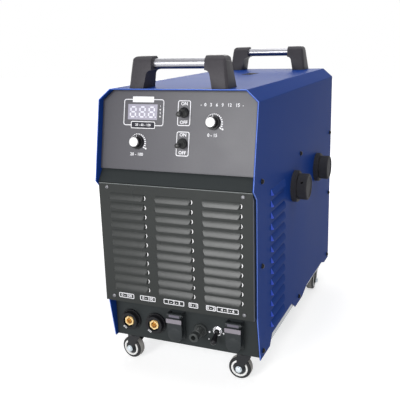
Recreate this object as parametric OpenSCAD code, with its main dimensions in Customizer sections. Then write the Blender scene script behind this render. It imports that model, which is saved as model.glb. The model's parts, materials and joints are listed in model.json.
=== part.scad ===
// Plasma cutter with a built-in air pump, on four swivel casters.
//
// Every piece is drawn in the case frame: x from the middle of the case, y from the
// foremost edge of the cover towards the back, z from the lower edge of the skirts.
// seat() moves it to the part's own frame, whose origin is on the floor under the
// middle of the whole outline.

/* [Case] */
// Width across the side walls of the cover
case_w = 330; // [310:1:360]
// Height of the cover above its lower edge
case_h = 530; // [515:1:550]
// Depth of the cover from its foremost to its rear edge
case_d = 668; // [655:1:700]
// Thickness of the cover's sheet
cover_t = 2; // [1:0.1:2]
// Thickness of the inner sheet parts
inner_t = 1.5; // [1:0.1:2]
// Gap between the cover's side walls and the inner sheet parts
side_gap = 0.5; // [0.3:0.1:1]
// Width of the sloping edges along the top
slope_w = 24; // [15:1:32]
// Height of the sloping edges along the top
slope_h = 21; // [15:1:24]
// Radius of the cover's bends
bend_r = 3; // [2.5:0.5:5]
// End of a skirt's front foot behind the foremost edge
front_foot_end = 100; // [90:1:110]
// Start of a skirt's middle foot behind the foremost edge
middle_foot_start = 305; // [290:1:315]
// End of a skirt's middle foot behind the foremost edge
middle_foot_end = 370; // [350:1:380]
// Length of a skirt's rear foot
rear_foot_len = 50; // [40:1:60]
// Height of the recess between a skirt's front and middle foot
front_recess_h = 22; // [15:1:25]
// Height of the recess between a skirt's middle and rear foot
rear_recess_h = 13; // [8:1:16]
// Lower edge of the skirts above the floor
ground_gap = 60; // [58:1:66]

/* [Front] */
// Height of the upper front, from the cover's foremost point, the nose, to its top
upper_front_h = 178; // [172:1:185]
// Lean of the upper front away from upright, in degrees
face_tilt = 11.7; // [9:0.1:14]
// Step back under the nose
nose_step = 19; // [17:1:22]
// Depth of the control panel behind the cover's edge
face_depth = 15; // [12:1:17]
// Height of the ledge's upper edge above the nose
ledge_h = 23; // [19:1:28]
// Ledge's upper edge behind the foremost edge of the cover
ledge_back = 26; // [24:1:30]
// Connector panel behind the foremost edge of the cover
socket_panel_y = 43.5; // [41:0.5:46]
// Lower edge of the web behind the louver plate
web_bottom = 98; // [94:1:100]
// Front face of the louver plate
louver_plate_y = 6.4; // [5:0.1:7]
// Lower edge of the louver plate above the skirt's edge
louver_plate_z = 96.8; // [95:0.1:100]
// Gap between the louver plate and the ledge above it
louver_plate_gap = 1.6; // [1:0.1:3]

/* [Louvers] */
// Depth that a louver stands out of its sheet
louver_deep = 5; // [3.5:0.1:5.2]
// Height of one louver
louver_high = 13; // [10:0.5:15]
// Lean of a louver's lip away from upright, in degrees
louver_tilt = 12; // [6:1:16]
// Radius of a louver's ends
louver_end_r = 6; // [5.5:0.1:8]
// Length of a front louver
front_louver_len = 77; // [65:1:82]
// Distance between the front louver columns
front_louver_gap = 99.5; // [96:0.5:102]
// Distance between louver rows in the front
front_louver_pitch = 19.2; // [18:0.1:19.8]
// Lowest louver of the front above the plate's lower edge
front_louver_low = 28; // [24:1:30]
// Length of a side louver
side_louver_len = 96; // [80:1:110]
// Distance between louver rows in the sides
side_louver_pitch = 23.3; // [20:0.1:24]
// Middle of the side louvers behind the foremost edge
side_louver_y = 155; // [150:1:160]
// Lowest side louver above the skirt's edge
side_louver_low = 40; // [38:1:48]

/* [Handles] */
// Length of a handle over its legs
handle_len = 206; // [190:1:220]
// Height of a handle above the top
handle_h = 60; // [56:1:70]
// Depth of a leg's foot
leg_foot = 52; // [44:1:56]
// Depth of a leg's top
leg_crown = 34; // [30:1:38]
// Width of a leg's foot
leg_w = 32; // [28:1:36]
// Length of tube between the arms of the legs
bar_len = 110; // [100:1:116]
// Width of the bevel round a leg's crown
leg_bevel = 9; // [6:0.5:10]
// Width of the bevel down a leg's outer edges
leg_chamfer = 4.8; // [3:0.1:6]
// Radius of the tube
bar_r = 10; // [8:0.5:11]
// Wall of the tube
bar_wall = 1.5; // [1:0.1:2]
// Front edge of the front handle's feet
front_handle_y = 44; // [42:1:60]
// Rear edge of the rear handle's feet before the rear edge of the cover
rear_handle_margin = 5; // [3:1:30]

/* [Casters] */
// Radius of a wheel
wheel_r = 24; // [23:0.5:25]
// Width of a wheel
wheel_w = 21; // [18:0.5:23]
// Radius of the wheel's axle
axle_r = 3; // [2.5:0.1:3.5]
// Distance of the axle behind the swivel's axis
caster_trail = 12; // [9:0.5:14]
// Radius of the swivel's race
race_r = 16.5; // [15:0.5:17]
// Radius of the kingpin
kingpin_r = 5; // [4:0.1:5.5]
// Front casters inside the side walls
front_caster_inset = 39; // [36:1:45]
// Front casters behind the foremost edge
front_caster_y = 63; // [63:1:75]
// Rear casters inside the side walls
rear_caster_inset = 25; // [24:1:40]
// Rear casters before the rear edge of the cover
rear_caster_margin = 88; // [75:1:100]

/* [Air filters] */
// Middle of the filters below the nose
filter_drop = 54; // [50:1:60]
// Front filter behind the foremost edge
front_filter_y = 285; // [278:1:292]
// Rear filter behind the foremost edge
rear_filter_y = 497; // [490:1:504]
// Length of a filter outside the cover
filter_reach = 33; // [28:1:40]
// Radius of the filter's base ring
filter_ring_r = 35; // [32:0.5:38]
// Thickness of the filter's base ring
filter_ring_t = 12; // [9:0.5:14]
// Radius of the filter's housing
filter_r = 28.8; // [26:0.1:30]

/* [Controls] */
// Left knob from the middle
left_knob_x = -82; // [-90:1:-75]
// Left knob above the nose, along the panel
left_knob_v = 77.6; // [70:0.1:84]
// Right knob from the middle
right_knob_x = 75; // [70:1:90]
// Right knob above the nose, along the panel
right_knob_v = 119.5; // [110:0.1:130]
// Radius of a knob's skirt
knob_r = 13.5; // [12:0.1:15]
// Height of a knob
knob_h = 17.5; // [15:0.1:20]
// Radius of a knob's spindle
spindle_r = 3; // [2.5:0.1:3.2]
// Both booted switches from the middle
toggle_x = 14.5; // [10:0.5:20]
// Upper booted switch above the nose, along the panel
upper_toggle_v = 136.8; // [130:0.1:140]
// Lower booted switch above the nose, along the panel
lower_toggle_v = 78.6; // [72:0.1:84]
// Length of a booted lever
toggle_len = 28; // [24:0.5:30]
// Tilt of a switch's lever from its middle position, in degrees
toggle_tilt = 12; // [8:0.5:14]
// Display window's width
window_w = 64; // [56:1:70]
// Display window's height
window_h = 29.6; // [24:0.1:32]
// Middle of the display window from the middle of the case
window_x = -74; // [-80:1:-70]
// Middle of the display window above the nose, along the panel
window_v = 136.3; // [130:0.1:140]

/* [Sockets] */
// Left output socket inside the left side wall
left_socket_inset = 39; // [33:1:47]
// Right output socket from the middle
right_socket_x = -67; // [-72:1:-62]
// Output sockets above the skirt's edge
socket_z = 41; // [36:1:48]
// Radius of an output socket's flange
socket_flange_r = 22.5; // [21:0.1:24]
// Radius of an output socket's nose
socket_nose_r = 18.5; // [17:0.1:20]
// Radius of the plug's bore in the brass insert
plug_r = 6.6; // [6:0.1:7]
// Torch fitting from the middle
torch_x = 35; // [30:1:40]
// Torch fitting above the skirt's edge
torch_z = 42; // [38:1:46]
// Radius of the torch fitting's thread
torch_thread_r = 8; // [7:0.1:8.5]
// Pump switch from the middle
pump_switch_x = 72; // [68:1:76]
// Pump switch above the skirt's edge
pump_switch_z = 45; // [42:1:50]
// Tilt of the pump switch's lever from its middle position, in degrees
pump_switch_tilt = 32; // [20:1:34]
// Length of the pump switch's lever
pump_lever_len = 30; // [26:0.5:34]
// Left lidded outlet from the middle
left_outlet_x = -16; // [-20:1:-12]
// Right lidded outlet from the middle
right_outlet_x = 112; // [108:1:116]
// Width of an outlet's hinge
outlet_w = 33; // [30:1:36]
// Height of the hinge pin above the skirt's edge
outlet_hinge_z = 71; // [69:1:73]
// Lower edge of an outlet's lid
outlet_low_z = 16; // [13:1:20]

/* [Inside] */
// Radius of the fan's opening
fan_r = 78; // [70:1:80]
// Blades of the fan
fan_blades = 7; // [5:1:9]
// Depth of the fan
fan_depth = 50; // [38:1:55]
// Radius of the compressor's motor
motor_r = 66; // [58:1:72]
// Radius of a compressor head's fins
head_r = 42; // [38:1:46]
// Front of the power stage behind the foremost edge
stage_y = 190; // [175:1:200]
// Width of the transformer's core
core_w = 110; // [100:1:116]
// Depth of the transformer's core
core_d = 64; // [50:1:70]
// Height of the transformer's core
core_h = 116; // [90:1:125]
// Width of the core's legs and yokes
core_leg = 18; // [14:1:22]
// Radius of the choke
choke_r = 50; // [40:1:54]
// Height of the choke
choke_h = 60; // [45:1:75]
// Length of the heatsink
sink_len = 260; // [220:1:270]
// Height of the heatsink
sink_h = 120; // [90:1:125]
// Depth of the heatsink's fins
sink_fin = 34; // [25:1:36]
// Width of a power module
module_w = 48; // [40:1:54]
// Radius of a capacitor
capacitor_r = 20; // [16:0.5:21]
// Height of a capacitor
capacitor_h = 70; // [55:1:90]
// Depth of the control board
board_d = 80; // [60:1:90]

/* [Hidden] */
$fn = 48;

// clearances
run_gap = 0.05;
slack = 0.3;
eps = 0.6;

// the nose and the ledge
nose_z = case_h - upper_front_h;
ledge_top = nose_z + ledge_h;

// the inner sheet parts lie inside the cover
inner_x = case_w / 2 - cover_t - side_gap;
roof_z = case_h - cover_t;
base_z = 6;
base_t = 2;
base_floor = base_z + base_t;
flange_h = 27;
shelf_z = nose_z - 2;
shelf_top = shelf_z + inner_t;
shelf_flange = 15;
frame_back = nose_step + inner_t;
rear_y = case_d - 9.5;
front_panel_back = socket_panel_y + inner_t;

// the whole outline, for the part's own frame
rear_reach = 20;
mid_x = (filter_reach - louver_deep) / 2;
mid_y = (case_d + rear_reach) / 2;

// tilted control panel
face_v0 = (ledge_top - nose_z) / cos(face_tilt);
face_v1 = (roof_z - nose_z) / cos(face_tilt) - slack;
shoulder_z = case_h - slope_h - cover_t;
shoulder_v = (shoulder_z - nose_z) / cos(face_tilt);
face_y = face_depth;

// louver plate
louver_plate_top = nose_z - 2.2 - louver_plate_gap;
plate_x = inner_x - 0.75;
front_louver_z = louver_plate_z + front_louver_low;
front_louver_rows = floor((louver_plate_top - 10 - louver_high - front_louver_z) / front_louver_pitch) + 1;
side_louver_rows = floor((nose_z - 12 - louver_high - side_louver_low) / side_louver_pitch) + 1;
plate_screw_x = plate_x - 19;
plate_screw_low = louver_plate_z + 11;
plate_screw_high = louver_plate_top - 8;

// screws through the cover: front, middle and rear columns
screw_r = 2.5;
screw_hole_r = 2.8;
screw_head_r = 4.8;
plate_screw_head_r = 3.8;
high_screw_z = shelf_top + 10;
middle_screw_z = nose_z / 2 + 19;
low_screw_z = base_floor + 6;
screw_spots = [
    [nose_step + 29, high_screw_z],
    [nose_step + 29, middle_screw_z],
    [socket_panel_y + 9, low_screw_z],
    [case_d / 2 + 2, high_screw_z],
    [case_d / 2 + 2, low_screw_z],
    [rear_y - 9, high_screw_z],
    [rear_y - 9, middle_screw_z],
    [rear_y - 9, low_screw_z]
];

// handles
leg_lean_x = 7.5;
leg_lean_y = 8;
bar_z = case_h + handle_h - 14.5;
arm_end = bar_len / 2;
bar_socket = 14;
bar_y = leg_lean_y + leg_crown / 2;
bolt_inset = 17;
rear_handle_y = case_d - rear_handle_margin - leg_foot;
handle_screw_r = 3;
top_flange_x = handle_len / 2 - leg_w - 6;

// casters: the wheel touches the floor at z = -ground_gap
front_caster_x = case_w / 2 - front_caster_inset;
rear_caster_x = case_w / 2 - rear_caster_inset;
rear_caster_y = case_d - rear_caster_margin;
axle_z = wheel_r - ground_gap;
crown_top = -slack;
crown_t = 3;
fork_t = 2.5;
bolt_head = 3.8;
fork_gap = wheel_w / 2 + 1;
casters = [
    [-front_caster_x, front_caster_y, 171],
    [front_caster_x, front_caster_y, 181],
    [-rear_caster_x, rear_caster_y, -92],
    [rear_caster_x, rear_caster_y, -88]
];

// filters and compressor heads share their height and their places along the case
filter_z = nose_z - filter_drop;
filter_pipe_r = 14;
filter_hole_r = 16;
motor_z = base_floor + motor_r + 22;

pipe_end = head_r + 6;
crank_half = head_r - 8;
crank_top = motor_z + motor_r + 4;

// switches and sockets
left_socket_x = left_socket_inset - case_w / 2;
ball_r = 7;
ball_bore_r = ball_r + run_gap;
tube_wall = 0.9;
toggle_pin_r = 1.2;
boot_base_r = 10;
pump_ball_r = 6;
pump_bore_r = pump_ball_r + run_gap;
pump_pivot_y = -4;
insert_r = plug_r + 3.4;
insert_hex = 2 * insert_r - 1.5;
torch_nut_r = torch_thread_r + 1.6;
torch_len = 40;
outlet_pin_r = 1.6;
outlet_face_y = 22;
outlet_hinge_y = 29;
outlet_body_w = outlet_w - 7;
outlet_pin_z = outlet_hinge_z + 1;

// rear
fan_z = shelf_top + fan_r + 9;
fan_shaft_r = 4;
breaker_x = 47 - case_w / 2;
breaker_z = shelf_z - 50;
breaker_pin_r = 1.5;
gland_x = case_w / 2 - 55;
gland_z = 70;
gland_thread_r = 12;
gland_bore_r = 8;
nipple_x = -gland_x;
nipple_thread_r = 8;
nipple_r = 5;

// power stage on the shelf
coil_t = 16;
transformer_y = stage_y + 80;
choke_y = transformer_y + core_d / 2 + coil_t + 50 + choke_r + 2;
stage_x = 30 - case_w / 2;
module_pitch = module_w + 14;
capacitor_pitch = 2 * capacitor_r + 6;
board_z = shelf_top + 30;

// ---------------------------------------------------------------- helpers

// From the case frame to the part's frame
module seat() {
    translate([-mid_x, -mid_y, ground_gap]) children();
}

// From the case frame to the tilted panel: local -y leaves its face, local z runs up it
module on_face(x = 0, v = 0) {
    translate([x, face_y, nose_z]) rotate([-face_tilt, 0, 0]) translate([0, 0, v]) children();
}

// 2D outline (y, z) extruded along x
module along_x(x0, x1) {
    translate([x0, 0, 0]) rotate([90, 0, 90]) linear_extrude(x1 - x0) children();
}

// 2D outline (x, z) extruded along y
module along_y(y0, y1) {
    translate([0, y1, 0]) rotate([90, 0, 0]) linear_extrude(y1 - y0) children();
}

// Cylinder along y from y0 to y1, and along x from x0 to x1
module rod_y(r, y0, y1, r2 = undef) {
    translate([0, y0, 0]) rotate([-90, 0, 0]) cylinder(r1 = r, r2 = is_undef(r2) ? r : r2, h = y1 - y0);
}
module rod_x(r, x0, x1) {
    translate([x0, 0, 0]) rotate([0, 90, 0]) cylinder(r = r, h = x1 - x0);
}

// Cylinder upwards from z0 to z1
module rod_z(r, z0, z1) {
    translate([0, 0, z0]) cylinder(r = r, h = z1 - z0);
}

// Box from one corner to the opposite one
module block(low, high) {
    translate(low) cube(high - low);
}

module both_sides() {
    children();
    mirror([1, 0, 0]) children();
}

// Bent sheet: the path is one face, the thickness goes to the left of the path
function unit(v) = v / norm(v);
function left(v) = [-v.y, v.x];
function side_of(p, i) = left(unit(p[i + 1] - p[i]));
function mitre(p, i) =
    let (n0 = side_of(p, max(i - 1, 0)), n1 = side_of(p, min(i, len(p) - 2)))
    (n0 + n1) / (1 + n0 * n1);
module bent_sheet(path, t) {
    polygon(concat(path, [for (i = [len(path) - 1 : -1 : 0]) path[i] + t * mitre(path, i)]));
}

// The same path with its inner corners rounded, each by an arc in n parts
function bend(a, p, b, r, n) =
    let (back = unit(a - p), on = unit(b - p), half = acos(back * on) / 2)
    let (c = p + unit(back + on) * r / sin(half), start = p + back * r / tan(half) - c)
    let (first = atan2(start.y, start.x), side = sign(back.y * on.x - back.x * on.y))
    let (turn = side * (180 - 2 * half))
    [for (k = [0 : n]) let (q = first + turn * k / n) c + r * [cos(q), sin(q)]];
function rounded(p, r, n = 4) = [
    for (i = [0 : len(p) - 1])
        each i == 0 || i == len(p) - 1 ? [p[i]] : bend(p[i - 1], p[i], p[i + 1], r, n)
];

// Pressed louver in the plane z = 0: outward is +z, its closed top is +y, its open lip is y = 0.
// A bowed slope between upright round ends, with round corners at its top.
module louver(length, thin, low) {
    half = atan(louver_deep / louver_high) - louver_tilt;
    r = norm([louver_deep, louver_high]) / (2 * sin(half));
    intersection() {
        translate([0, -r * sin(louver_tilt), louver_deep - r * cos(louver_tilt)])
            rod_x(r - thin, -length, length, $fn = 180);
        along_y(thin > 0 ? -eps : 0, louver_high + 2) louver_outline(length / 2, -low, louver_deep, thin);
        translate([0, 0, -low]) linear_extrude(low + louver_deep + 1)
            louver_outline(length / 2, -2 * eps, louver_high + 1, thin);
    }
}

// Outline from x = -half to half with round upper corners
module louver_outline(half, low, high, thin) {
    c = [half - louver_end_r, high - louver_end_r];
    r = louver_end_r - thin;
    polygon(concat(
        [[thin - half, low]], arc([-c.x, c.y], r, 180, 90, 5),
        arc(c, r, 90, 0, 5), [[half - thin, low]]
    ));
}

module hex_nut(af, h) {
    rotate([-90, 0, 0]) cylinder(r = af / sqrt(3), h = h, $fn = 6);
}

// Outline of a lever's ball up to the angle last, with a straight belt for its pin
function ball(r, last) = concat(arc([0, 0], r, -90, -15), arc([0, 0], r, 15, last, 3));

// Body turned about y from an outline of radius and height, its height runs to -y
module turned_y(profile) {
    rotate([90, 0, 0]) rotate_extrude() polygon(profile);
}

// ---------------------------------------------------------------- case

module cover_outline() {
    top_y = (case_h - nose_z) * tan(face_tilt);
    polygon([
        [top_y, case_h], [0, nose_z], [nose_step, nose_z - nose_step],
        [nose_step, web_bottom - 4], [nose_step + 17, 0],
        [front_foot_end, 0], [front_foot_end + 16, front_recess_h],
        [middle_foot_start - 29, front_recess_h], [middle_foot_start, 0],
        [middle_foot_end, 0], [middle_foot_end + 45, rear_recess_h],
        [case_d - rear_foot_len - 36, rear_recess_h], [case_d - rear_foot_len, 0],
        [case_d, 0], [case_d, case_h]
    ]);
}

module side_louvers(thin, low) {
    for (k = [0 : side_louver_rows - 1])
        translate([case_w / 2, side_louver_y, side_louver_low + k * side_louver_pitch])
            rotate([90, 0, 90]) louver(side_louver_len, thin, low);
}

module outer_cover() color("royalblue") seat() {
    half = case_w / 2;
    path = [
        [-half, 0], [-half, case_h - slope_h], [-half + slope_w, case_h],
        [half - slope_w, case_h], [half, case_h - slope_h], [half, 0]
    ];
    difference() {
        union() {
            intersection() {
                along_y(0, case_d) bent_sheet(rounded(path, bend_r), -cover_t);
                along_x(-half, half) cover_outline();
            }
            both_sides() side_louvers(0, cover_t / 2);
        }
        both_sides() side_louvers(cover_t, cover_t + eps);
        for (spot = screw_spots)
            translate([0, spot.x, spot.y]) rod_x(screw_hole_r, -case_w, case_w);
        for (y = [front_filter_y, rear_filter_y])
            translate([0, y, filter_z]) rod_x(filter_hole_r, 0, case_w);
        handle_bolt_spots() cylinder(r = handle_screw_r + slack, h = 4 * cover_t, center = true);
    }
}

// Pan-head screw along z: its head stands on the sheet at z = 0, the shank goes down
module pan_screw(shank, head_r) {
    rod_z(screw_r, -shank, 1);
    difference() {
        rotate_extrude() polygon(concat([[0, 0], [head_r, 0]],
            arc([head_r - 2.2, 0.4], 2.2, 0, 90), [[0, 2.6]]));
        for (a = [0, 90]) rotate(a) block([-2.4, -0.45, 1.3], [2.4, 0.45, 3]);
    }
}

module cover_screws() color("dimgray") seat() {
    for (side = [0, 1], spot = screw_spots) mirror([side, 0, 0])
        translate([case_w / 2, spot.x, spot.y]) rotate([0, 90, 0])
            pan_screw(case_w / 2 - inner_x + inner_t + 4, screw_head_r);
}

// Control panel: sloping sheet with a shelf flange below and a stiffening flange above
module control_panel() color("dimgray") seat() {
    difference() {
        union() {
            on_face() along_y(0, inner_t) polygon([
                [-inner_x, face_v0], [inner_x, face_v0], [inner_x, shoulder_v],
                [case_w / 2 - slope_w - 3, face_v1], [slope_w + 3 - case_w / 2, face_v1],
                [-inner_x, shoulder_v]
            ]);
            block([-inner_x, face_y + face_v0 * sin(face_tilt) + 0.2, ledge_top],
                [inner_x, ledge_back + 14, ledge_top + inner_t]);
            on_face() block([-60, 0, face_v1 - inner_t], [60, 16, face_v1]);
        }
        on_face(window_x, window_v)
            block([-window_w / 2, -eps, -window_h / 2], [window_w / 2, inner_t + eps, window_h / 2]);
        on_face(left_knob_x, left_knob_v) rod_y(4, -1, inner_t + 1);
        on_face(right_knob_x, right_knob_v) rod_y(4, -1, inner_t + 1);
        for (v = [upper_toggle_v, lower_toggle_v])
            on_face(toggle_x, v) rod_y(ball_bore_r + tube_wall, -1, inner_t + 1);
    }
}

// Front frame: ledge, web with its window, connector panel and side flanges in one bent sheet
module front_frame() color("darkslategray") seat() {
    path = [
        [ledge_back + 16, ledge_top], [ledge_back, ledge_top], [louver_plate_y + 0.6, nose_z - 2.2],
        [nose_step, nose_z - 2.2], [nose_step, web_bottom], [socket_panel_y, web_bottom],
        [socket_panel_y, 1.5], [socket_panel_y + 18, 1.5]
    ];
    difference() {
        union() {
            along_x(-inner_x, inner_x) bent_sheet(path, inner_t);
            both_sides() block([inner_x - inner_t, frame_back - eps, web_bottom + inner_t],
                [inner_x, nose_step + 43, shelf_top - shelf_flange - 1]);
        }
        block([26 - inner_x, 0, web_bottom + 20],
            [inner_x - 26, frame_back + 1, shelf_top - shelf_flange - 2]);
        for (x = [left_socket_x, right_socket_x]) translate([x, 0, socket_z]) panel_hole(socket_nose_r - 4);
        translate([torch_x, 0, torch_z]) panel_hole(torch_thread_r);
        translate([pump_switch_x, 0, pump_switch_z]) panel_hole(pump_bore_r + tube_wall);
        for (x = [left_outlet_x, right_outlet_x])
            block([x - 9, socket_panel_y - 1, 27], [x + 9, front_panel_back + 1, 50]);
        both_sides() for (z = [plate_screw_low, plate_screw_high])
            translate([plate_screw_x, 0, z]) rod_y(screw_r, 0, frame_back + 1);
        for (spot = screw_spots) translate([0, spot.x, spot.y]) rod_x(screw_r, -case_w, case_w);
        for (c = casters) translate([c.x, c.y, 0]) cylinder(r = race_r + 1, h = base_z);
    }
}
module panel_hole(r) {
    rod_y(r, socket_panel_y - 1, front_panel_back + 1);
}

module louver_grid(thin, low) {
    for (col = [-1 : 1], row = [0 : front_louver_rows - 1])
        translate([col * front_louver_gap, louver_plate_y, front_louver_z + row * front_louver_pitch])
            rotate([90, 0, 0]) louver(front_louver_len, thin, low);
}

// Louver plate: a shallow tray with its folded edges against the frame's web
module louver_plate() color("darkslategray") seat() {
    difference() {
        union() {
            block([-plate_x, louver_plate_y, louver_plate_z], [plate_x, nose_step, louver_plate_top]);
            louver_grid(0, inner_t + slack);
        }
        block([inner_t - plate_x, louver_plate_y + inner_t, louver_plate_z + inner_t],
            [plate_x - inner_t, nose_step + 1, louver_plate_top - inner_t]);
        louver_grid(inner_t, inner_t + eps);
        both_sides() for (z = [plate_screw_low, plate_screw_high])
            translate([plate_screw_x, 0, z]) rod_y(screw_hole_r, 0, nose_step);
    }
}

module louver_plate_screws() color("silver") seat() {
    for (x = [-plate_screw_x, plate_screw_x], z = [plate_screw_low, plate_screw_high])
        translate([x, louver_plate_y, z]) rotate([90, 0, 0])
            pan_screw(frame_back - louver_plate_y + 6, plate_screw_head_r);
}

// Base plate: a pan with its edges turned up
module base_plate() color("slategray") seat() {
    difference() {
        block([-inner_x, front_panel_back, base_z], [inner_x, rear_y, base_z + flange_h]);
        block([base_t - inner_x, front_panel_back + base_t, base_floor],
            [inner_x - base_t, rear_y - base_t, base_z + flange_h + 1]);
        block([base_t - inner_x, 0, base_z + flange_h / 2],
            [inner_x - base_t, front_panel_back + base_t + 1, base_z + flange_h + 1]);
        for (x = [-84 : 56 : 84], y = [case_d / 2 - 120 : 24 : case_d / 2 + 120])
            block([x - 20, y - 3, 0], [x + 20, y + 3, base_floor + 1]);
        for (c = casters) translate([c.x, c.y, 0]) cylinder(r = kingpin_r, h = 20);
        for (spot = screw_spots) translate([0, spot.x, spot.y]) rod_x(screw_r, -case_w, case_w);
    }
}

// Shelf between the compressor and the power stage, its ends turned down and its sides up
module shelf() color("slategray") seat() {
    difference() {
        union() {
            block([-inner_x, frame_back, shelf_z], [inner_x, rear_y, shelf_top]);
            for (y = [frame_back, rear_y - inner_t])
                block([-inner_x, y, shelf_top - shelf_flange], [inner_x, y + inner_t, shelf_top]);
            both_sides() block([inner_x - inner_t, frame_back + 4, shelf_z],
                [inner_x, rear_y - 24, shelf_top + shelf_flange]);
        }
        translate([50 - inner_x, 120, 0]) rod_z(20, shelf_z - 1, shelf_top + 1);
        for (spot = screw_spots) translate([0, spot.x, spot.y]) rod_x(screw_r, -case_w, case_w);
        both_sides() translate([plate_screw_x, 0, plate_screw_high]) rod_y(screw_r, 0, frame_back + 10);
    }
}

// Rear panel: a punched grille for the fan, slots for the compressor, side flanges
module rear_panel() color("slategray") seat() {
    difference() {
        union() {
            along_y(rear_y, rear_y + inner_t) difference() {
                polygon([
                    [-inner_x, base_z], [inner_x, base_z], [inner_x, shoulder_z],
                    [case_w / 2 - slope_w - 3, roof_z], [slope_w + 3 - case_w / 2, roof_z],
                    [-inner_x, shoulder_z]
                ]);
                translate([0, fan_z]) fan_grille();
                for (x = [-70 : 70 : 70], z = [gland_z + 40 : 14 : shelf_top - shelf_flange - 30])
                    translate([x - 26, z]) square([52, 5]);
                translate([breaker_x, breaker_z]) square([30, 50], center = true);
                translate([gland_x, gland_z]) circle(gland_thread_r);
                translate([nipple_x, gland_z]) circle(nipple_thread_r);
            }
            both_sides() {
                block([inner_x - inner_t, rear_y - 22, base_z + flange_h + 1],
                    [inner_x, rear_y + eps, shelf_top - shelf_flange - 1]);
                block([inner_x - inner_t, rear_y - 22, shelf_top + 1],
                    [inner_x, rear_y + eps, shoulder_z - 2]);
            }
            block([-top_flange_x, rear_y - 14, roof_z - inner_t], [top_flange_x, rear_y + eps, roof_z]);
        }
        for (spot = screw_spots) translate([0, spot.x, spot.y]) rod_x(screw_r, -case_w, case_w);
    }
}

// Round holes in rings, leaving the middle closed over the fan's motor
module fan_grille() {
    for (ring = [3 : 6]) {
        count = ring * 6;
        for (k = [0 : count - 1])
            rotate(360 * k / count) translate([ring * 12, 0]) circle(r = 4.2, $fn = 16);
    }
}

// ---------------------------------------------------------------- handles

// Moulded leg on the right of a handle, its foot at z = case_h and its front at y = 0
module leg() {
    half = handle_len / 2;
    top = case_h + handle_h;
    foot_in = half - leg_w;
    difference() {
        intersection() {
            along_y(0, leg_foot) polygon(concat(
                [[half, case_h], [half - leg_lean_x + 1, top - leg_bevel - 3]],
                arc([half - leg_lean_x - leg_bevel, top - leg_bevel], leg_bevel, 0, 90),
                [[arm_end, top], [arm_end, top - 26]],
                arc([arm_end, top - 37], 11, 90, 20),
                [[foot_in, case_h]]
            ));
            along_x(0, half) polygon([
                [0, case_h], [leg_lean_y - 1, top - leg_bevel], [leg_lean_y + 1, top - leg_bevel + 3],
                [leg_lean_y + leg_bevel - 2, top - 1], [leg_lean_y + leg_bevel + 1, top],
                [leg_lean_y + leg_crown - leg_bevel - 1, top],
                [leg_lean_y + leg_crown - leg_bevel + 2, top - 1],
                [leg_lean_y + leg_crown - 1, top - leg_bevel + 3],
                [leg_lean_y + leg_crown + 1, top - leg_bevel],
                [leg_foot, case_h]
            ]);
        }
        outer_chamfer(half, 0, leg_lean_y);
        outer_chamfer(half, leg_foot, leg_lean_y + leg_crown - leg_foot);
        translate([0, bar_y, bar_z]) rod_x(bar_r, arm_end - 1, arm_end + bar_socket);
        for (y = [bolt_inset, leg_foot - bolt_inset])
            translate([half - leg_w / 2, y, case_h - 1]) cylinder(r = handle_screw_r, h = 16);
    }
}

// Cut along a leg's leaning outer edge, which starts at y and runs dy back over the handle's height
module outer_chamfer(half, y, dy) {
    length = norm([leg_lean_x, dy, handle_h]);
    back = asin(dy / length);
    cut = leg_chamfer / sqrt(2);
    translate([half, y, case_h]) rotate([-back, -asin(leg_lean_x / length / cos(back)), 0]) rotate(45)
        block([-cut, -cut, -5], [cut, cut, length + 5]);
}

function arc(c, r, a0, a1, n = 6) =
    [for (i = [0 : n]) let (q = a0 + (a1 - a0) * i / n) c + r * [cos(q), sin(q)]];

module handle_legs(y) {
    translate([0, y, 0]) both_sides() leg();
}

module handle_bolt_spots() {
    for (y = [front_handle_y, rear_handle_y], dy = [bolt_inset, leg_foot - bolt_inset], side = [-1, 1])
        translate([side * (handle_len / 2 - leg_w / 2), y + dy, case_h]) children();
}

module handle_bolts() color("dimgray") seat() {
    handle_bolt_spots() {
        translate([0, 0, -cover_t]) cylinder(r = handle_screw_r, h = 15);
        translate([0, 0, -cover_t - 3]) cylinder(r = 5.5, h = 3);
    }
}

module handle_bar(y) {
    translate([0, y + bar_y, bar_z]) difference() {
        rod_x(bar_r, -arm_end - bar_socket, arm_end + bar_socket);
        rod_x(bar_r - bar_wall, -arm_end - bar_socket - 1, arm_end + bar_socket + 1);
    }
}

module front_handle_legs() color("dimgray") seat() handle_legs(front_handle_y);
module rear_handle_legs() color("dimgray") seat() handle_legs(rear_handle_y);
module front_handle_bar() color("gainsboro") seat() handle_bar(front_handle_y);
module rear_handle_bar() color("gainsboro") seat() handle_bar(rear_handle_y);

// ---------------------------------------------------------------- air filters

// Ring against the cover, its pipe goes through to the compressor's head
module filter_base_rings() color("dimgray") seat() {
    for (y = [front_filter_y, rear_filter_y]) translate([case_w / 2, y, filter_z]) difference() {
        union() {
            rod_x(filter_ring_r, 0, filter_ring_t - 3);
            rod_x(filter_ring_r - 1.5, filter_ring_t - 3.5, filter_ring_t - 1);
            rod_x(filter_r - 3, filter_ring_t - 1.5, filter_ring_t + 0.5);
            rod_x(filter_pipe_r, pipe_end - case_w / 2, 1);
        }
        rod_x(filter_pipe_r - 3, -case_w, filter_reach);
    }
}

module filter_housing(hole_angle) {
    start = filter_ring_t + 0.5;
    difference() {
        rotate([90, 0, 90]) rotate_extrude() polygon([
            [0, start + 5], [filter_r - 4, start + 5], [filter_r - 4, start], [filter_r, start],
            [filter_r, filter_reach - 2], [filter_r - 2, filter_reach], [filter_r - 6, filter_reach],
            [filter_r - 7, filter_reach - 1], [0, filter_reach - 1]
        ]);
        translate([start + 10, 0, 0]) rotate([hole_angle, 0, 0])
            translate([0, 0, filter_r - 10]) cylinder(r = 2.8, h = 12);
    }
}

module front_air_filter() color("dimgray") seat()
    translate([case_w / 2, front_filter_y, filter_z]) filter_housing(60);
module rear_air_filter() color("dimgray") seat()
    translate([case_w / 2, rear_filter_y, filter_z]) filter_housing(-60);

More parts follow.
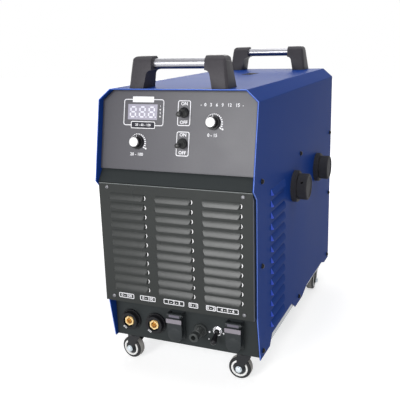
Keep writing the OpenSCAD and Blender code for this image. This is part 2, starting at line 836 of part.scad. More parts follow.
// ---------------------------------------------------------------- controls

// Prism along y with square flutes round it
module fluted(r, flutes, depth, y0, y1) {
    along_y(y0, y1) polygon([
        for (i = [0 : 4 * flutes - 1])
            (r - (i % 4 < 2 ? depth : 0)) * [cos(90 * i / flutes), sin(90 * i / flutes)]
    ]);
}

// Knob: fluted skirt, gripping body, cap and the spindle that turns with it
module knob() {
    body_r = knob_r - 3;
    cap_r = body_r - 1.8;
    fluted(knob_r, 24, 0.7, -5.5, -1);
    fluted(body_r, 18, 0.6, -knob_h + 4, -3);
    rod_y(cap_r, -knob_h + 0.8, -knob_h + 5);
    rod_y(cap_r - 0.8, -knob_h, -knob_h + 0.8, cap_r);
    rod_y(spindle_r, -2, inner_t + 12);
}
module left_knob() color("black") seat() on_face(left_knob_x, left_knob_v) knob();
module right_knob() color("black") seat() on_face(right_knob_x, right_knob_v) knob();

// Potentiometer: bushing through the panel, nut, can and terminals
module potentiometers() color("slategray") seat() {
    for (spot = [[left_knob_x, left_knob_v], [right_knob_x, right_knob_v]]) on_face(spot.x, spot.y) {
        difference() {
            union() {
                rod_y(4, -0.6, inner_t + 4);
                rod_y(9, inner_t + 3, inner_t + 17);
                translate([0, inner_t, 0]) hex_nut(11, 3);
                block([-5, inner_t + 6, -16], [5, inner_t + 8, -5]);
            }
            rod_y(spindle_r + run_gap, -2, inner_t + 13);
        }
    }
}

module display_window() color([0.6, 0.6, 0.65, 0.6]) seat() on_face(window_x, window_v) {
    block([-window_w / 2, 0.3, -window_h / 2], [window_w / 2, inner_t + 0.5, window_h / 2]);
}

module display_module() color("dimgray") seat() on_face(window_x, window_v) {
    back = inner_t + 0.5;
    block([-window_w / 2 - 6, inner_t, -window_h / 2 - 6], [-window_w / 2, back + 14, window_h / 2 + 6]);
    block([window_w / 2, inner_t, -window_h / 2 - 6], [window_w / 2 + 6, back + 14, window_h / 2 + 6]);
    block([-window_w / 2 - 1, back, -window_h / 2 - 6], [window_w / 2 + 1, back + 12, window_h / 2 + 6]);
    block([-window_w / 2 - 4, back + 11, -window_h / 2 - 4], [window_w / 2 + 4, back + 15, window_h / 2 + 4]);
}

// Booted lever: its ball turns on a pin in the bushing, the ribbed boot covers the lever
module booted_lever() {
    tip_r = 3.6;
    tip = toggle_len - tip_r;
    rotate([toggle_tilt, 0, 0]) difference() {
        turned_y(concat(
            ball(ball_r, 27),
            [[ball_r - 1, 5], [ball_r - 0.5, 7.5], [5, 9.5], [5.6, 11.5],
            [4.2, 13.2], [4.6, 15], [3.3, 16.8], [3.1, tip - 3], [tip_r, tip - 0.5]],
            arc([0, tip], tip_r, 0, 90)
        ));
        rod_x(toggle_pin_r + run_gap, -ball_r - 1, ball_r + 1);
    }
}
module upper_toggle() color("black") seat() on_face(toggle_x, upper_toggle_v) booted_lever();
module lower_toggle() color("black") seat() on_face(toggle_x, lower_toggle_v) booted_lever();

// Bushing with the boot's clamped ring, pivot pin, switch housing and terminals
module toggle_bushings() color("darkslategray") seat() {
    for (v = [upper_toggle_v, lower_toggle_v]) on_face(toggle_x, v) {
        difference() {
            union() {
                rod_y(ball_bore_r + tube_wall, -3.2, inner_t + 8);
                turned_y([[0, 0], [boot_base_r, 0], [boot_base_r, 1.8], [boot_base_r - 1, 3], [0, 3.2]]);
                block([-6.5, inner_t + 7.5, -11], [6.5, inner_t + 26, 11]);
                for (z = [-7, 0, 7]) block([-1, inner_t + 25, z - 2], [1, inner_t + 33, z + 2]);
            }
            rod_y(ball_bore_r, -4, inner_t + 7.5);
        }
        rod_x(toggle_pin_r, -ball_bore_r - tube_wall / 2, ball_bore_r + tube_wall / 2);
    }
}

// ---------------------------------------------------------------- connector panel

module on_panel(x, z) {
    translate([x, socket_panel_y, z]) children();
}

// Output socket: flange, nose with its recess, rear stud boss
module output_socket() {
    difference() {
        union() {
            rod_y(socket_flange_r, -4, 0);
            rod_y(socket_nose_r, -14, -3.5, socket_nose_r + 0.8);
            rod_y(socket_nose_r - 4, -1, inner_t + 12);
            for (a = [45 : 90 : 315]) rotate([0, a, 0])
                translate([socket_flange_r - 1.6, 0, 0]) rod_y(1.6, -5, -3.9);
        }
        rod_y(insert_r + 3, -15, -9);
        rod_y(insert_r + 0.02, -16, inner_t + 13);
    }
}
module left_output_socket() color("black") seat() on_panel(left_socket_x, socket_z) output_socket();
module right_output_socket() color("black") seat() on_panel(right_socket_x, socket_z) output_socket();

// Brass insert: hexagon head round the plug's bore, key slot, threaded stud behind
module socket_inserts() color("goldenrod") seat() {
    for (x = [left_socket_x, right_socket_x]) on_panel(x, socket_z) difference() {
        union() {
            rod_y(insert_r, -10, inner_t + 14);
            translate([0, -12.5, 0]) rotate([0, 30, 0]) hex_nut(insert_hex, 3.5);
            rod_y(6, inner_t + 13, inner_t + 26);
        }
        rod_y(plug_r, -13, inner_t + 8);
        block([-1.6, -13, 0], [1.6, -4, plug_r + 2]);
    }
}

// Torch fitting: collar, ribbed barrel, coupling nut with a rounded rim, and its bore
module torch_fitting() color("black") seat() on_panel(torch_x, torch_z) difference() {
    r = torch_thread_r;
    union() {
        turned_y(concat(
            [[0, 0], [r + 6, 0], [r + 6, 4], [r + 4.5, 6], [r + 3, 6], [r + 3, 10], [r + 0.6, 10]],
            [for (k = [0 : 4], rib = [[0.6, 11], [2, 11.6], [2, 13], [0.6, 13.6]]) rib + [r, 3 * k]],
            [[r, 26], [r, 28], [torch_nut_r, 28]],
            arc([torch_nut_r - 2.4, torch_len - 2.4], 2.4, 0, 90),
            [[0, torch_len]]
        ));
        rod_y(r, -1, inner_t + 20);
        translate([0, inner_t, 0]) hex_nut(26, 5);
    }
    rod_y(r - 3, -torch_len - 1, inner_t + 21);
}

module pump_switch_body() color("silver") seat() on_panel(pump_switch_x, pump_switch_z) {
    difference() {
        union() {
            rod_y(pump_bore_r + tube_wall, pump_pivot_y - 0.4, inner_t + 7);
            turned_y(concat(
                [[0, 0], [10, 0], [10, 0.8], [8.6, 0.8]],
                arc([7.1, 2.4], 1.5, 0, 90),
                [[0, 3.9]]
            ));
            block([-8, inner_t + 6.5, -14], [8, inner_t + 30, 14]);
            for (z = [-9, 0, 9]) block([-1, inner_t + 29, z - 2.5], [1, inner_t + 38, z + 2.5]);
        }
        rod_y(pump_bore_r, -6, inner_t + 6.5);
    }
    translate([0, pump_pivot_y, 0])
        rod_x(toggle_pin_r, -pump_bore_r - tube_wall / 2, pump_bore_r + tube_wall / 2);
}

// Lever with a long rubber cap, swollen at its tip
module pump_switch_lever() color("black") seat() on_panel(pump_switch_x, pump_switch_z) {
    cap_r = 6.6;
    translate([0, pump_pivot_y, 0]) rotate([pump_switch_tilt, 0, 0]) difference() {
        turned_y(concat(ball(pump_ball_r, 50), [[3.8, 7], [4.6, 8], [5, 14]],
            arc([0, pump_lever_len - cap_r], cap_r, 0, 90)));
        rod_x(toggle_pin_r + run_gap, -pump_ball_r - 1, pump_ball_r + 1);
    }
}

// Lidded outlet: body with a round socket, hinge bracket above it
module outlet_base(x) {
    translate([x, 0, 0]) difference() {
        union() {
            block([-outlet_body_w / 2 + 2, outlet_hinge_y + 2, outlet_low_z + 3],
                [outlet_body_w / 2 - 2, socket_panel_y, outlet_hinge_z - 5]);
            block([-outlet_w / 2, socket_panel_y - 3, outlet_low_z],
                [outlet_w / 2, socket_panel_y, outlet_hinge_z + 8]);
            for (side = [-1, 1]) translate([side * (outlet_w / 2 - 2), 0, 0])
                block([-2, outlet_hinge_y - 1, outlet_hinge_z - 2], [2, socket_panel_y, outlet_hinge_z + 5]);
            for (side = [-1, 1]) translate([side * (outlet_w / 2 - 2), outlet_hinge_y, outlet_pin_z])
                rod_x(5, -2, 2);
            block([-8, front_panel_back - eps - 1.4, 29], [8, front_panel_back + 14, 48]);
        }
        translate([0, 0, (outlet_low_z + outlet_hinge_z) / 2 - 3])
            rod_y(8.6, outlet_hinge_y, socket_panel_y + 4);
        translate([0, outlet_hinge_y, outlet_pin_z]) rod_x(outlet_pin_r, -outlet_w, outlet_w);
    }
}
module left_outlet() color("black") seat() outlet_base(left_outlet_x);
module right_outlet() color("black") seat() outlet_base(right_outlet_x);

// Lid: rounded tongue with side walls over the body, ribbed top and hinge barrel
module outlet_lid(x) {
    w = outlet_w / 2 - slack;
    barrel = outlet_w / 2 - 4 - slack;
    low = outlet_low_z;
    half = outlet_body_w / 2;
    translate([x, 0, 0]) difference() {
        union() {
            along_y(outlet_face_y + 3, outlet_hinge_y + 1.5) union() {
                translate([-half, low + 9]) square([2 * half, outlet_hinge_z - low - 20]);
                translate([0, low + half]) circle(half);
            }
            block([-w, outlet_face_y, outlet_hinge_z - 17], [w, outlet_hinge_y - 1, outlet_hinge_z - 6.2]);
            block([-barrel, outlet_hinge_y - 4.5, outlet_hinge_z - 7],
                [barrel, outlet_hinge_y, outlet_pin_z]);
            translate([0, outlet_hinge_y, outlet_pin_z]) rod_x(4.6, -barrel, barrel);
        }
        translate([0, outlet_hinge_y, outlet_pin_z]) rod_x(outlet_pin_r + run_gap, -w, w);
        for (z = [0 : 2]) block([-w - 1, outlet_face_y - 1, outlet_hinge_z - 15 + 3.4 * z],
            [w + 1, outlet_face_y + 0.6, outlet_hinge_z - 13.8 + 3.4 * z]);
    }
}
module left_outlet_lid() color("dimgray") seat() outlet_lid(left_outlet_x);
module right_outlet_lid() color("dimgray") seat() outlet_lid(right_outlet_x);

module outlet_hinge_pins() color("silver") seat() {
    for (x = [left_outlet_x, right_outlet_x]) translate([x, outlet_hinge_y, outlet_pin_z])
        rod_x(outlet_pin_r, -outlet_w / 2 - 0.8, outlet_w / 2 + 0.8);
}

// ---------------------------------------------------------------- casters

// Swivel stem: nut, stem through the base plate, upper race, kingpin's rivet head
module caster_stems() color("silver") seat() {
    for (c = casters) translate([c.x, c.y, 0]) {
        cylinder(r = race_r, h = base_z);
        translate([0, 0, crown_top - crown_t - 1]) cylinder(r = kingpin_r, h = base_floor + 16);
        translate([0, 0, crown_top - crown_t - 2.8]) cylinder(r = kingpin_r + 2.5, h = 2.5);
        translate([0, 0, base_floor]) cylinder(r = 10, h = 7, $fn = 6);
    }
}

// Fork: crown with its bore and down-turned rim, two legs that narrow to the riveted axle
module caster_fork(c) {
    translate([c.x, c.y, 0]) rotate(c.z) {
        difference() {
            union() {
                translate([0, 0, crown_top - crown_t]) cylinder(r = race_r + 2, h = crown_t);
                for (side = [-1, 1]) fork_leg(side);
            }
            translate([0, 0, crown_top - crown_t - 1]) cylinder(r = kingpin_r + run_gap, h = crown_t + 2);
        }
        translate([caster_trail, 0, axle_z]) {
            rod_y(axle_r, -fork_gap - eps, fork_gap + eps);
            for (side = [0, 1]) mirror([0, side, 0])
                rod_y(axle_r + 2.2, fork_gap + fork_t - eps, fork_gap + fork_t + bolt_head);
        }
    }
}
module fork_leg(side) {
    near = side > 0 ? fork_gap : -fork_gap - fork_t;
    along_y(near, near + fork_t) union() {
        polygon([
            [-race_r + 3, crown_top - 0.5], [race_r - 1, crown_top - 0.5],
            [race_r - 1, crown_top - crown_t - 3], [caster_trail + 6.5, axle_z + 1],
            [caster_trail - 6.5, axle_z + 1], [-race_r + 3, crown_top - crown_t - 3]
        ]);
        translate([caster_trail, axle_z]) circle(6.6);
    }
}

// Wheel: tread with rounded shoulders, raised rim ring, dished web, hub
module caster_wheel(c) {
    h = wheel_w / 2;
    shoulder = 4;
    rim = wheel_r - 6.5;
    side = [
        [axle_r + run_gap, h + 0.5], [8, h + 0.5], [9.5, h - 3], [11.5, h - 3],
        [13, h], [rim, h], [rim, h - 1]
    ];
    half = concat(side, arc([wheel_r - shoulder, h - 1 - shoulder], shoulder, 90, 0));
    profile = concat(half, [for (i = [len(half) - 1 : -1 : 0]) [half[i].x, -half[i].y]]);
    translate([c.x, c.y, 0]) rotate(c.z) translate([caster_trail, 0, axle_z])
        rotate([90, 0, 0]) rotate_extrude() polygon(profile);
}

module caster_fork_1() color("black") seat() caster_fork(casters[0]);
module caster_fork_2() color("black") seat() caster_fork(casters[1]);
module caster_fork_3() color("black") seat() caster_fork(casters[2]);
module caster_fork_4() color("black") seat() caster_fork(casters[3]);
module caster_wheel_1() color("gray") seat() caster_wheel(casters[0]);
module caster_wheel_2() color("gray") seat() caster_wheel(casters[1]);
module caster_wheel_3() color("gray") seat() caster_wheel(casters[2]);
module caster_wheel_4() color("gray") seat() caster_wheel(casters[3]);

// ---------------------------------------------------------------- compressor

// Motor barrel with cooling ribs between two crankcases, on four feet
module compressor_motor() color("silver") seat() {
    y0 = front_filter_y + crank_half;
    y1 = rear_filter_y - crank_half;
    translate([0, 0, motor_z]) {
        rod_y(motor_r - 6, y0, y1);
        for (y = [y0 + 8 : 12 : y1 - 8]) translate([0, y, 0]) rod_y(motor_r, -2, 2);
    }
    for (y = [front_filter_y, rear_filter_y]) {
        translate([0, y, motor_z]) rod_y(motor_r - 4, -crank_half, crank_half);
        block([-head_r, y - crank_half, motor_z], [head_r, y + crank_half, crank_top]);
        for (side = [-1, 1]) {
            block([side * 55 - 16, y - 14, base_floor + 12], [side * 55 + 16, y + 14, base_floor + 22]);
            block([side * 44 - 12, y - 12, base_floor + 20], [side * 44 + 12, y + 12, motor_z - 20]);
            translate([side * 62, y, base_floor]) cylinder(r = 9, h = 12.5);
        }
    }
}

// Finned cylinder and head over each crankcase, the intake stub faces the filter's pipe
module compressor_heads() color("silver") seat() {
    for (y = [front_filter_y, rear_filter_y]) translate([0, y, 0]) {
        translate([0, 0, crank_top]) cylinder(r = head_r - 12, h = filter_z + 22 - crank_top);
        for (z = [crank_top + 6 : 8 : filter_z - 22]) translate([0, 0, z]) cylinder(r = head_r, h = 3);
        block([-head_r, 6 - head_r, filter_z - 18], [head_r, head_r - 6, filter_z + 24]);
        translate([0, 0, filter_z]) rod_x(filter_pipe_r + 3, head_r - 1, pipe_end);
    }
}

// ---------------------------------------------------------------- power stage on the shelf

// Laminated core with two windows and a wound coil round its middle leg
module main_transformer() color("saddlebrown") seat()
    translate([stage_x + core_w / 2 - 5, transformer_y, shelf_top]) {
        window = (core_w - 3.4 * core_leg) / 2;
        difference() {
            block([-core_w / 2, -core_d / 2, 0], [core_w / 2, core_d / 2, core_h]);
            both_sides() block([core_w / 2 - core_leg - window, -core_d, core_leg],
                [core_w / 2 - core_leg, core_d, core_h - core_leg]);
        }
        coil = core_w / 2 - core_leg - 2;
        for (side = [0, 1]) mirror([0, side, 0])
            block([-coil, core_d / 2, core_leg + 4], [coil, core_d / 2 + coil_t, core_h - core_leg - 4]);
    }

module output_choke() color("saddlebrown") seat()
    translate([stage_x + choke_r - 5, choke_y, shelf_top]) {
        difference() {
            rod_z(choke_r, 0, choke_h);
            rod_z(0.4 * choke_r, -1, choke_h + 1);
        }
        rod_z(8, 0, choke_h + 10);
        rod_z(choke_r + 2, choke_h, choke_h + 3);
    }

// Finned heatsink standing along the case, with the power modules on its side
module heatsink() color("silver") seat() translate([sink_fin + 6, stage_y, shelf_top]) {
    block([0, 0, 0], [12, sink_len, sink_h]);
    for (z = [4 : 11.2 : sink_h - 3]) block([-sink_fin, 0, z], [1, sink_len, z + 2.5]);
}

module power_modules() color("black") seat() for (k = [0 : 3])
    translate([sink_fin + 18, stage_y + 15 + module_pitch * k, shelf_top + sink_h / 4]) {
        block([0, 0, 0], [22, module_w, sink_h / 2]);
        for (z = [0.1, 0.25, 0.4]) translate([21, module_w / 2, z * sink_h]) rod_x(4, 0, 4);
    }

module capacitor_bank() color("steelblue") seat() for (k = [0 : 2], row = [0, 1])
    translate([inner_x - capacitor_r - 27, stage_y + 35 + capacitor_pitch * (k + 3.25 * row), shelf_top])
        rod_z(capacitor_r, 0, capacitor_h);

// Control board on posts above the shelf, with its relays
module control_board() color("darkgreen") seat() translate([0, stage_y - 30 - board_d, board_z]) {
    half = inner_x - 32;
    for (x = [10 - half, half - 10], y = [10, board_d - 10])
        translate([x, y, shelf_top - board_z]) rod_z(4, 0, 30.5);
    block([-half, 0, 0], [half, board_d, 2]);
    for (k = [-2 : 2]) translate([k * half / 2.8, 0, 0]) block([-10, 20, 2], [10, 48, 18]);
}

module solenoid_valve() color("goldenrod") seat() translate([torch_x, front_panel_back, torch_z]) {
    difference() {
        union() {
            translate([0, 12, 0]) rod_y(11, 3, 44);
            block([-14, 24, -14], [14, 52, 14]);
        }
        rod_y(torch_thread_r, -1, 22);
    }
    block([-10, 26, 14], [10, 50, 44]);
    block([-13, 24, base_floor - torch_z], [13, 52, -13]);
}

// ---------------------------------------------------------------- rear

module fan_frame() color("black") seat() translate([0, 0, fan_z]) {
    difference() {
        rod_y(fan_r + 7, rear_y - fan_depth, rear_y);
        rod_y(fan_r, rear_y - fan_depth - 1, rear_y + 1);
    }
    for (k = [0 : 3]) rotate([0, 45 + 90 * k, 0])
        block([20, rear_y - 5, -4], [fan_r + 2, rear_y, 4]);
    rod_y(26, rear_y - 6, rear_y);
    rod_y(fan_shaft_r, rear_y - fan_depth + 6, rear_y - 5);
    block([-30, rear_y - fan_depth, shelf_top - fan_z], [30, rear_y, -fan_r - 4]);
}

module fan_rotor() color("dimgray") seat() translate([0, rear_y - fan_depth, fan_z]) {
    difference() {
        rod_y(30, 8, fan_depth - 8);
        rod_y(fan_shaft_r + run_gap, 7, fan_depth);
        rod_y(24, 20, fan_depth);
    }
    difference() {
        rod_y(9, 8, fan_depth - 10);
        rod_y(fan_shaft_r + run_gap, 7, fan_depth);
    }
    for (k = [0 : fan_blades - 1]) rotate([0, 360 * k / fan_blades, 0]) intersection() {
        translate([0, fan_depth / 2 - 1, 0]) rotate([0, 0, 38]) block([-14, -1, 0], [14, 1, fan_r + 5]);
        difference() {
            rod_y(fan_r - 4, 8, fan_depth - 10);
            rod_y(29, 7, fan_depth);
        }
    }
}

module breaker() color("black") seat() translate([breaker_x, rear_y, breaker_z]) {
    difference() {
        union() {
            block([-15, -55, -25], [15, inner_t, 25]);
            block([-20, inner_t, -30], [20, inner_t + 3, 30]);
        }
        block([-5, -7, -12], [5, inner_t + 4, 12]);
    }
    translate([0, -1, 0]) rod_x(breaker_pin_r, -6, 6);
}

module breaker_lever() color("white") seat() translate([breaker_x, rear_y - 1, breaker_z]) difference() {
    rotate([-25, 0, 0]) {
        rod_x(4.6, -4.6, 4.6);
        block([-4.5, 0, -3], [4.5, 15, 3]);
    }
    rod_x(breaker_pin_r + run_gap, -6, 6);
}

module mains_gland() color("black") seat() translate([gland_x, rear_y, gland_z]) difference() {
    union() {
        rod_y(gland_thread_r, -14, inner_t + 10);
        translate([0, -6, 0]) hex_nut(30, 6);
        translate([0, inner_t, 0]) hex_nut(32, 8);
        rod_y(16, inner_t + 7, inner_t + 21, 13);
        rod_y(13, inner_t + 20, case_d + rear_reach - rear_y, 12);
    }
    rod_y(gland_bore_r, -15, case_d + rear_reach - rear_y + 1);
}

module air_nipple() color("goldenrod") seat() translate([nipple_x, rear_y, gland_z]) difference() {
    union() {
        rod_y(nipple_thread_r, -16, inner_t + 6);
        translate([0, -5, 0]) hex_nut(21, 5);
        translate([0, inner_t, 0]) hex_nut(21, 7);
        rod_y(nipple_r, inner_t + 6, inner_t + 24);
        for (k = [0 : 1]) rod_y(nipple_r + 1, inner_t + 8 + 4 * k, inner_t + 11 + 4 * k, nipple_r);
    }
    rod_y(nipple_r - 2, -17, inner_t + 25);
}

outer_cover();
control_panel();
front_frame();
louver_plate();
base_plate();
rear_panel();
shelf();
cover_screws();
louver_plate_screws();
handle_bolts();
front_handle_legs();
rear_handle_legs();
front_handle_bar();
rear_handle_bar();
front_air_filter();
rear_air_filter();
filter_base_rings();
left_knob();
right_knob();
potentiometers();
display_window();
display_module();
toggle_bushings();
upper_toggle();
lower_toggle();
pump_switch_body();
pump_switch_lever();
left_output_socket();
right_output_socket();
socket_inserts();
torch_fitting();
left_outlet();
right_outlet();
left_outlet_lid();
right_outlet_lid();
outlet_hinge_pins();
caster_stems();
caster_fork_1();
caster_fork_2();
caster_fork_3();
caster_fork_4();
caster_wheel_1();
caster_wheel_2();
caster_wheel_3();
caster_wheel_4();
compressor_motor();
compressor_heads();
main_transformer();
output_choke();
heatsink();
power_modules();
capacitor_bank();
control_board();
fan_frame();
fan_rotor();
breaker();
breaker_lever();
mains_gland();
air_nipple();
solenoid_valve();
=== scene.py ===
"""Plasma cutter: finishes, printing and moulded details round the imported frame.

The file is laid out as an add-on. Run as a script it registers its classes, calls its operators
in order and leaves the dressed object, the floor, the lamps and the camera in the scene.
"""

import json
import math

import bmesh
import bpy
from bpy.props import FloatProperty, FloatVectorProperty, PointerProperty
from mathutils import Matrix, Vector


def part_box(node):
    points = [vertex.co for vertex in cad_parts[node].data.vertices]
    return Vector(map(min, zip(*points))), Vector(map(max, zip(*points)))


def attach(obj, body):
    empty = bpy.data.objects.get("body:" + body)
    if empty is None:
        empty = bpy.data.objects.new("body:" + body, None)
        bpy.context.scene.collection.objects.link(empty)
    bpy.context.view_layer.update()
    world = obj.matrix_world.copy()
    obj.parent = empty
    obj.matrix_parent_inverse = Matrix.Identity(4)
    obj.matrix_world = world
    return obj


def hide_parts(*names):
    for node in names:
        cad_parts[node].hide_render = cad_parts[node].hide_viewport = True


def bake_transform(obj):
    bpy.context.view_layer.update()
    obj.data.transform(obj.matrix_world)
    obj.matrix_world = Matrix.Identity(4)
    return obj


bl_info = {
    "name": "Plasma Cutter",
    "version": (1, 0, 0),
    "blender": (4, 5, 0),
    "location": "View3D > Sidebar > Plasma Cutter",
    "description": "Finishes and details for a plasma cutter on casters",
    "category": "Object",
}

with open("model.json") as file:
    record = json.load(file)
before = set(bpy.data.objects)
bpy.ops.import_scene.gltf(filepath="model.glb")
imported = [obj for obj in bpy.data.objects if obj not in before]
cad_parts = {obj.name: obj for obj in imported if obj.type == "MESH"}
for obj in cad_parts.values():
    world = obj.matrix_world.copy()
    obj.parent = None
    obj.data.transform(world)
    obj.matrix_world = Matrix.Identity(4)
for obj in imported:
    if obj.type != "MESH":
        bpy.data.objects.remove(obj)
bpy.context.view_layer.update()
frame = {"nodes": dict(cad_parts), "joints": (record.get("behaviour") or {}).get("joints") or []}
nodes = frame["nodes"]
joints = {j["name"]: j for j in frame["joints"]}

MM = 0.001
RIGHT = Vector((1, 0, 0))
UP = Vector((0, 0, 1))
COVER_LOW, COVER_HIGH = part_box("outer_cover")
CASE_MIDDLE = (COVER_LOW.x + COVER_HIGH.x) / 2
HALF_CASE = (COVER_HIGH.x - COVER_LOW.x) / 2
# the sloping control panel: into it and up along it
FACE_IN = Vector(joints["left_knob_turn"]["axis"])
FACE_UP = Vector((0, -FACE_IN.z, FACE_IN.y))
# heights above the skirts and depths behind the nose, in millimetres
COVER_HEIGHT = (COVER_HIGH.z - COVER_LOW.z) / MM
NOSE_HEIGHT = 352
FACE_DEPTH = 15
LOUVER_PLATE_Y = 6.4
SOCKET_PANEL_Y = 43.5


def tone(red, green, blue):
    """Linear colour of a screen colour given as three numbers up to 255."""
    levels = [c / 255 for c in (red, green, blue)]
    linear = [c / 12.92 if c < 0.04045 else ((c + 0.055) / 1.055) ** 2.4 for c in levels]
    return (*linear, 1.0)


def case_point(x, y, z):
    """Place in the row frame, from millimetres: x from the middle, y behind the nose, z above the skirts."""
    return Vector((CASE_MIDDLE + x * MM, COVER_LOW.y + y * MM, COVER_LOW.z + z * MM))


def plane(origin, right, up):
    """Matrix of a flat surface: x to the right, y up along it, z out of it."""
    out = right.cross(up)
    rows = [[right[i], up[i], out[i], origin[i]] for i in range(3)]
    return Matrix([*rows, [0, 0, 0, 1]])


CONTROL_FACE = plane(case_point(0, FACE_DEPTH, NOSE_HEIGHT), RIGHT, FACE_UP)
LOUVER_FACE = plane(case_point(0, LOUVER_PLATE_Y, 0), RIGHT, UP)
SOCKET_FACE = plane(case_point(0, SOCKET_PANEL_Y, 0), RIGHT, UP)
LEFT_KNOB = plane(Vector(joints["left_knob_turn"]["pos_m"]), RIGHT, FACE_UP)
RIGHT_KNOB = plane(Vector(joints["right_knob_turn"]["pos_m"]), RIGHT, FACE_UP)


def on(face, x, y, out=0.0, turn=0.0):
    """Matrix of a place on a face, in millimetres, turned clockwise by degrees."""
    place = Matrix.Translation((x * MM, y * MM, out * MM))
    return face @ place @ Matrix.Rotation(-math.radians(turn), 4, "Z")


# ---- sizes and colours


PAINT = {"subtype": "COLOR", "size": 4, "min": 0, "max": 1}
LENGTH = {"subtype": "DISTANCE", "unit": "LENGTH"}


class PlasmaColours(bpy.types.PropertyGroup):
    """Colours of the painted and moulded parts"""

    cover: FloatVectorProperty(
        name="Cover", description="Paint of the outer cover", default=tone(26, 60, 134), **PAINT,
    )
    panel: FloatVectorProperty(
        name="Control panel", description="Paint of the control panel", default=tone(56, 55, 62), **PAINT,
    )
    frame: FloatVectorProperty(
        name="Front frame", description="Paint of the ledge and the connector panel",
        default=tone(42, 46, 47), **PAINT,
    )
    louvers: FloatVectorProperty(
        name="Louver plate", description="Paint of the louver plate", default=tone(25, 29, 28), **PAINT,
    )
    printing: FloatVectorProperty(
        name="Printing", description="Ink of the lines and marks", default=tone(236, 236, 240), **PAINT,
    )
    moulding: FloatVectorProperty(
        name="Handle plastic", description="Plastic of the handle legs", default=tone(64, 62, 66), **PAINT,
    )


class PlasmaSizes(bpy.types.PropertyGroup):
    """Sizes of the details that only the looks need"""

    line: FloatProperty(
        name="Printed line", description="Width of a printed line",
        default=1.5 * MM, min=0.5 * MM, max=3 * MM, **LENGTH,
    )
    ink: FloatProperty(
        name="Ink", description="Thickness of the printing",
        default=0.12 * MM, min=0.05 * MM, max=0.4 * MM, **LENGTH,
    )
    edge: FloatProperty(
        name="Moulded edge", description="Rounding of the edges of moulded parts",
        default=1.1 * MM, min=0.2 * MM, max=2 * MM, **LENGTH,
    )
    scale_radius: FloatProperty(
        name="Knob scale", description="Inner radius of the printed scale round a knob",
        default=15.2 * MM, min=15 * MM, max=20 * MM, **LENGTH,
    )


def colours():
    return bpy.context.scene.plasma_colours


def sizes():
    return bpy.context.scene.plasma_sizes


# ---- materials


def group_node(tree, name, build, **values):
    """Places a shader node group in a tree, built when it is first asked for, and sets its inputs."""
    node = tree.nodes.new("ShaderNodeGroup")
    node.node_tree = bpy.data.node_groups.get(name) or build(name)
    for label, value in values.items():
        node.inputs[label.capitalize()].default_value = value
    return node


def new_group(name, inputs, outputs):
    """Shader node group with float inputs given as name: default, and float outputs, and its two ends."""
    group = bpy.data.node_groups.new(name, "ShaderNodeTree")
    for label, default in inputs.items():
        socket = group.interface.new_socket(name=label, in_out="INPUT", socket_type="NodeSocketFloat")
        socket.default_value = default
    for label in outputs:
        group.interface.new_socket(name=label, in_out="OUTPUT", socket_type="NodeSocketFloat")
    return group, group.nodes.new("NodeGroupInput"), group.nodes.new("NodeGroupOutput")


def maths(tree, operation, first, second):
    """Math node whose inputs are sockets or numbers."""
    node = tree.nodes.new("ShaderNodeMath")
    node.operation = operation
    for slot, value in enumerate((first, second)):
        if isinstance(value, (int, float)):
            node.inputs[slot].default_value = value
        else:
            tree.links.new(value, node.inputs[slot])
    return node.outputs[0]


def grain_group(name):
    """Orange peel or moulded texture: a fine height and a soft, wide change of shade."""
    group, into, out = new_group(name, {"Grain": 900.0, "Patches": 14.0}, ["Height", "Shade", "Patch"])
    place = group.nodes.new("ShaderNodeTexCoord")
    for label, scale, detail, target in (("fine", "Grain", 2.0, "Height"), ("wide", "Patches", 3.0, "Patch")):
        noise = group.nodes.new("ShaderNodeTexNoise")
        noise.name = label
        noise.inputs["Detail"].default_value = detail
        noise.inputs["Roughness"].default_value = 0.55
        group.links.new(place.outputs["Object"], noise.inputs["Vector"])
        group.links.new(into.outputs[scale], noise.inputs["Scale"])
        group.links.new(noise.outputs["Fac"], out.inputs[target])
    mix = maths(group, "ADD", maths(group, "MULTIPLY", group.nodes["fine"].outputs["Fac"], 0.5),
                maths(group, "MULTIPLY", group.nodes["wide"].outputs["Fac"], 0.5))
    group.links.new(mix, out.inputs["Shade"])
    return group


def brushed_group(name):
    """Fine lines drawn out along one axis, as on rolled, turned or ground metal."""
    group, into, out = new_group(name, {"Along": 6.0, "Across": 900.0}, ["Height", "Shade"])
    place = group.nodes.new("ShaderNodeTexCoord")
    stretch = group.nodes.new("ShaderNodeCombineXYZ")
    for label, axis in (("Along", "X"), ("Across", "Y"), ("Across", "Z")):
        group.links.new(into.outputs[label], stretch.inputs[axis])
    scaled = group.nodes.new("ShaderNodeVectorMath")
    scaled.operation = "MULTIPLY"
    group.links.new(place.outputs["Object"], scaled.inputs[0])
    group.links.new(stretch.outputs["Vector"], scaled.inputs[1])
    noise = group.nodes.new("ShaderNodeTexNoise")
    noise.inputs["Scale"].default_value = 1.0
    noise.inputs["Detail"].default_value = 2.0
    group.links.new(scaled.outputs["Vector"], noise.inputs["Vector"])
    group.links.new(noise.outputs["Fac"], out.inputs["Height"])
    group.links.new(noise.outputs["Fac"], out.inputs["Shade"])
    return group


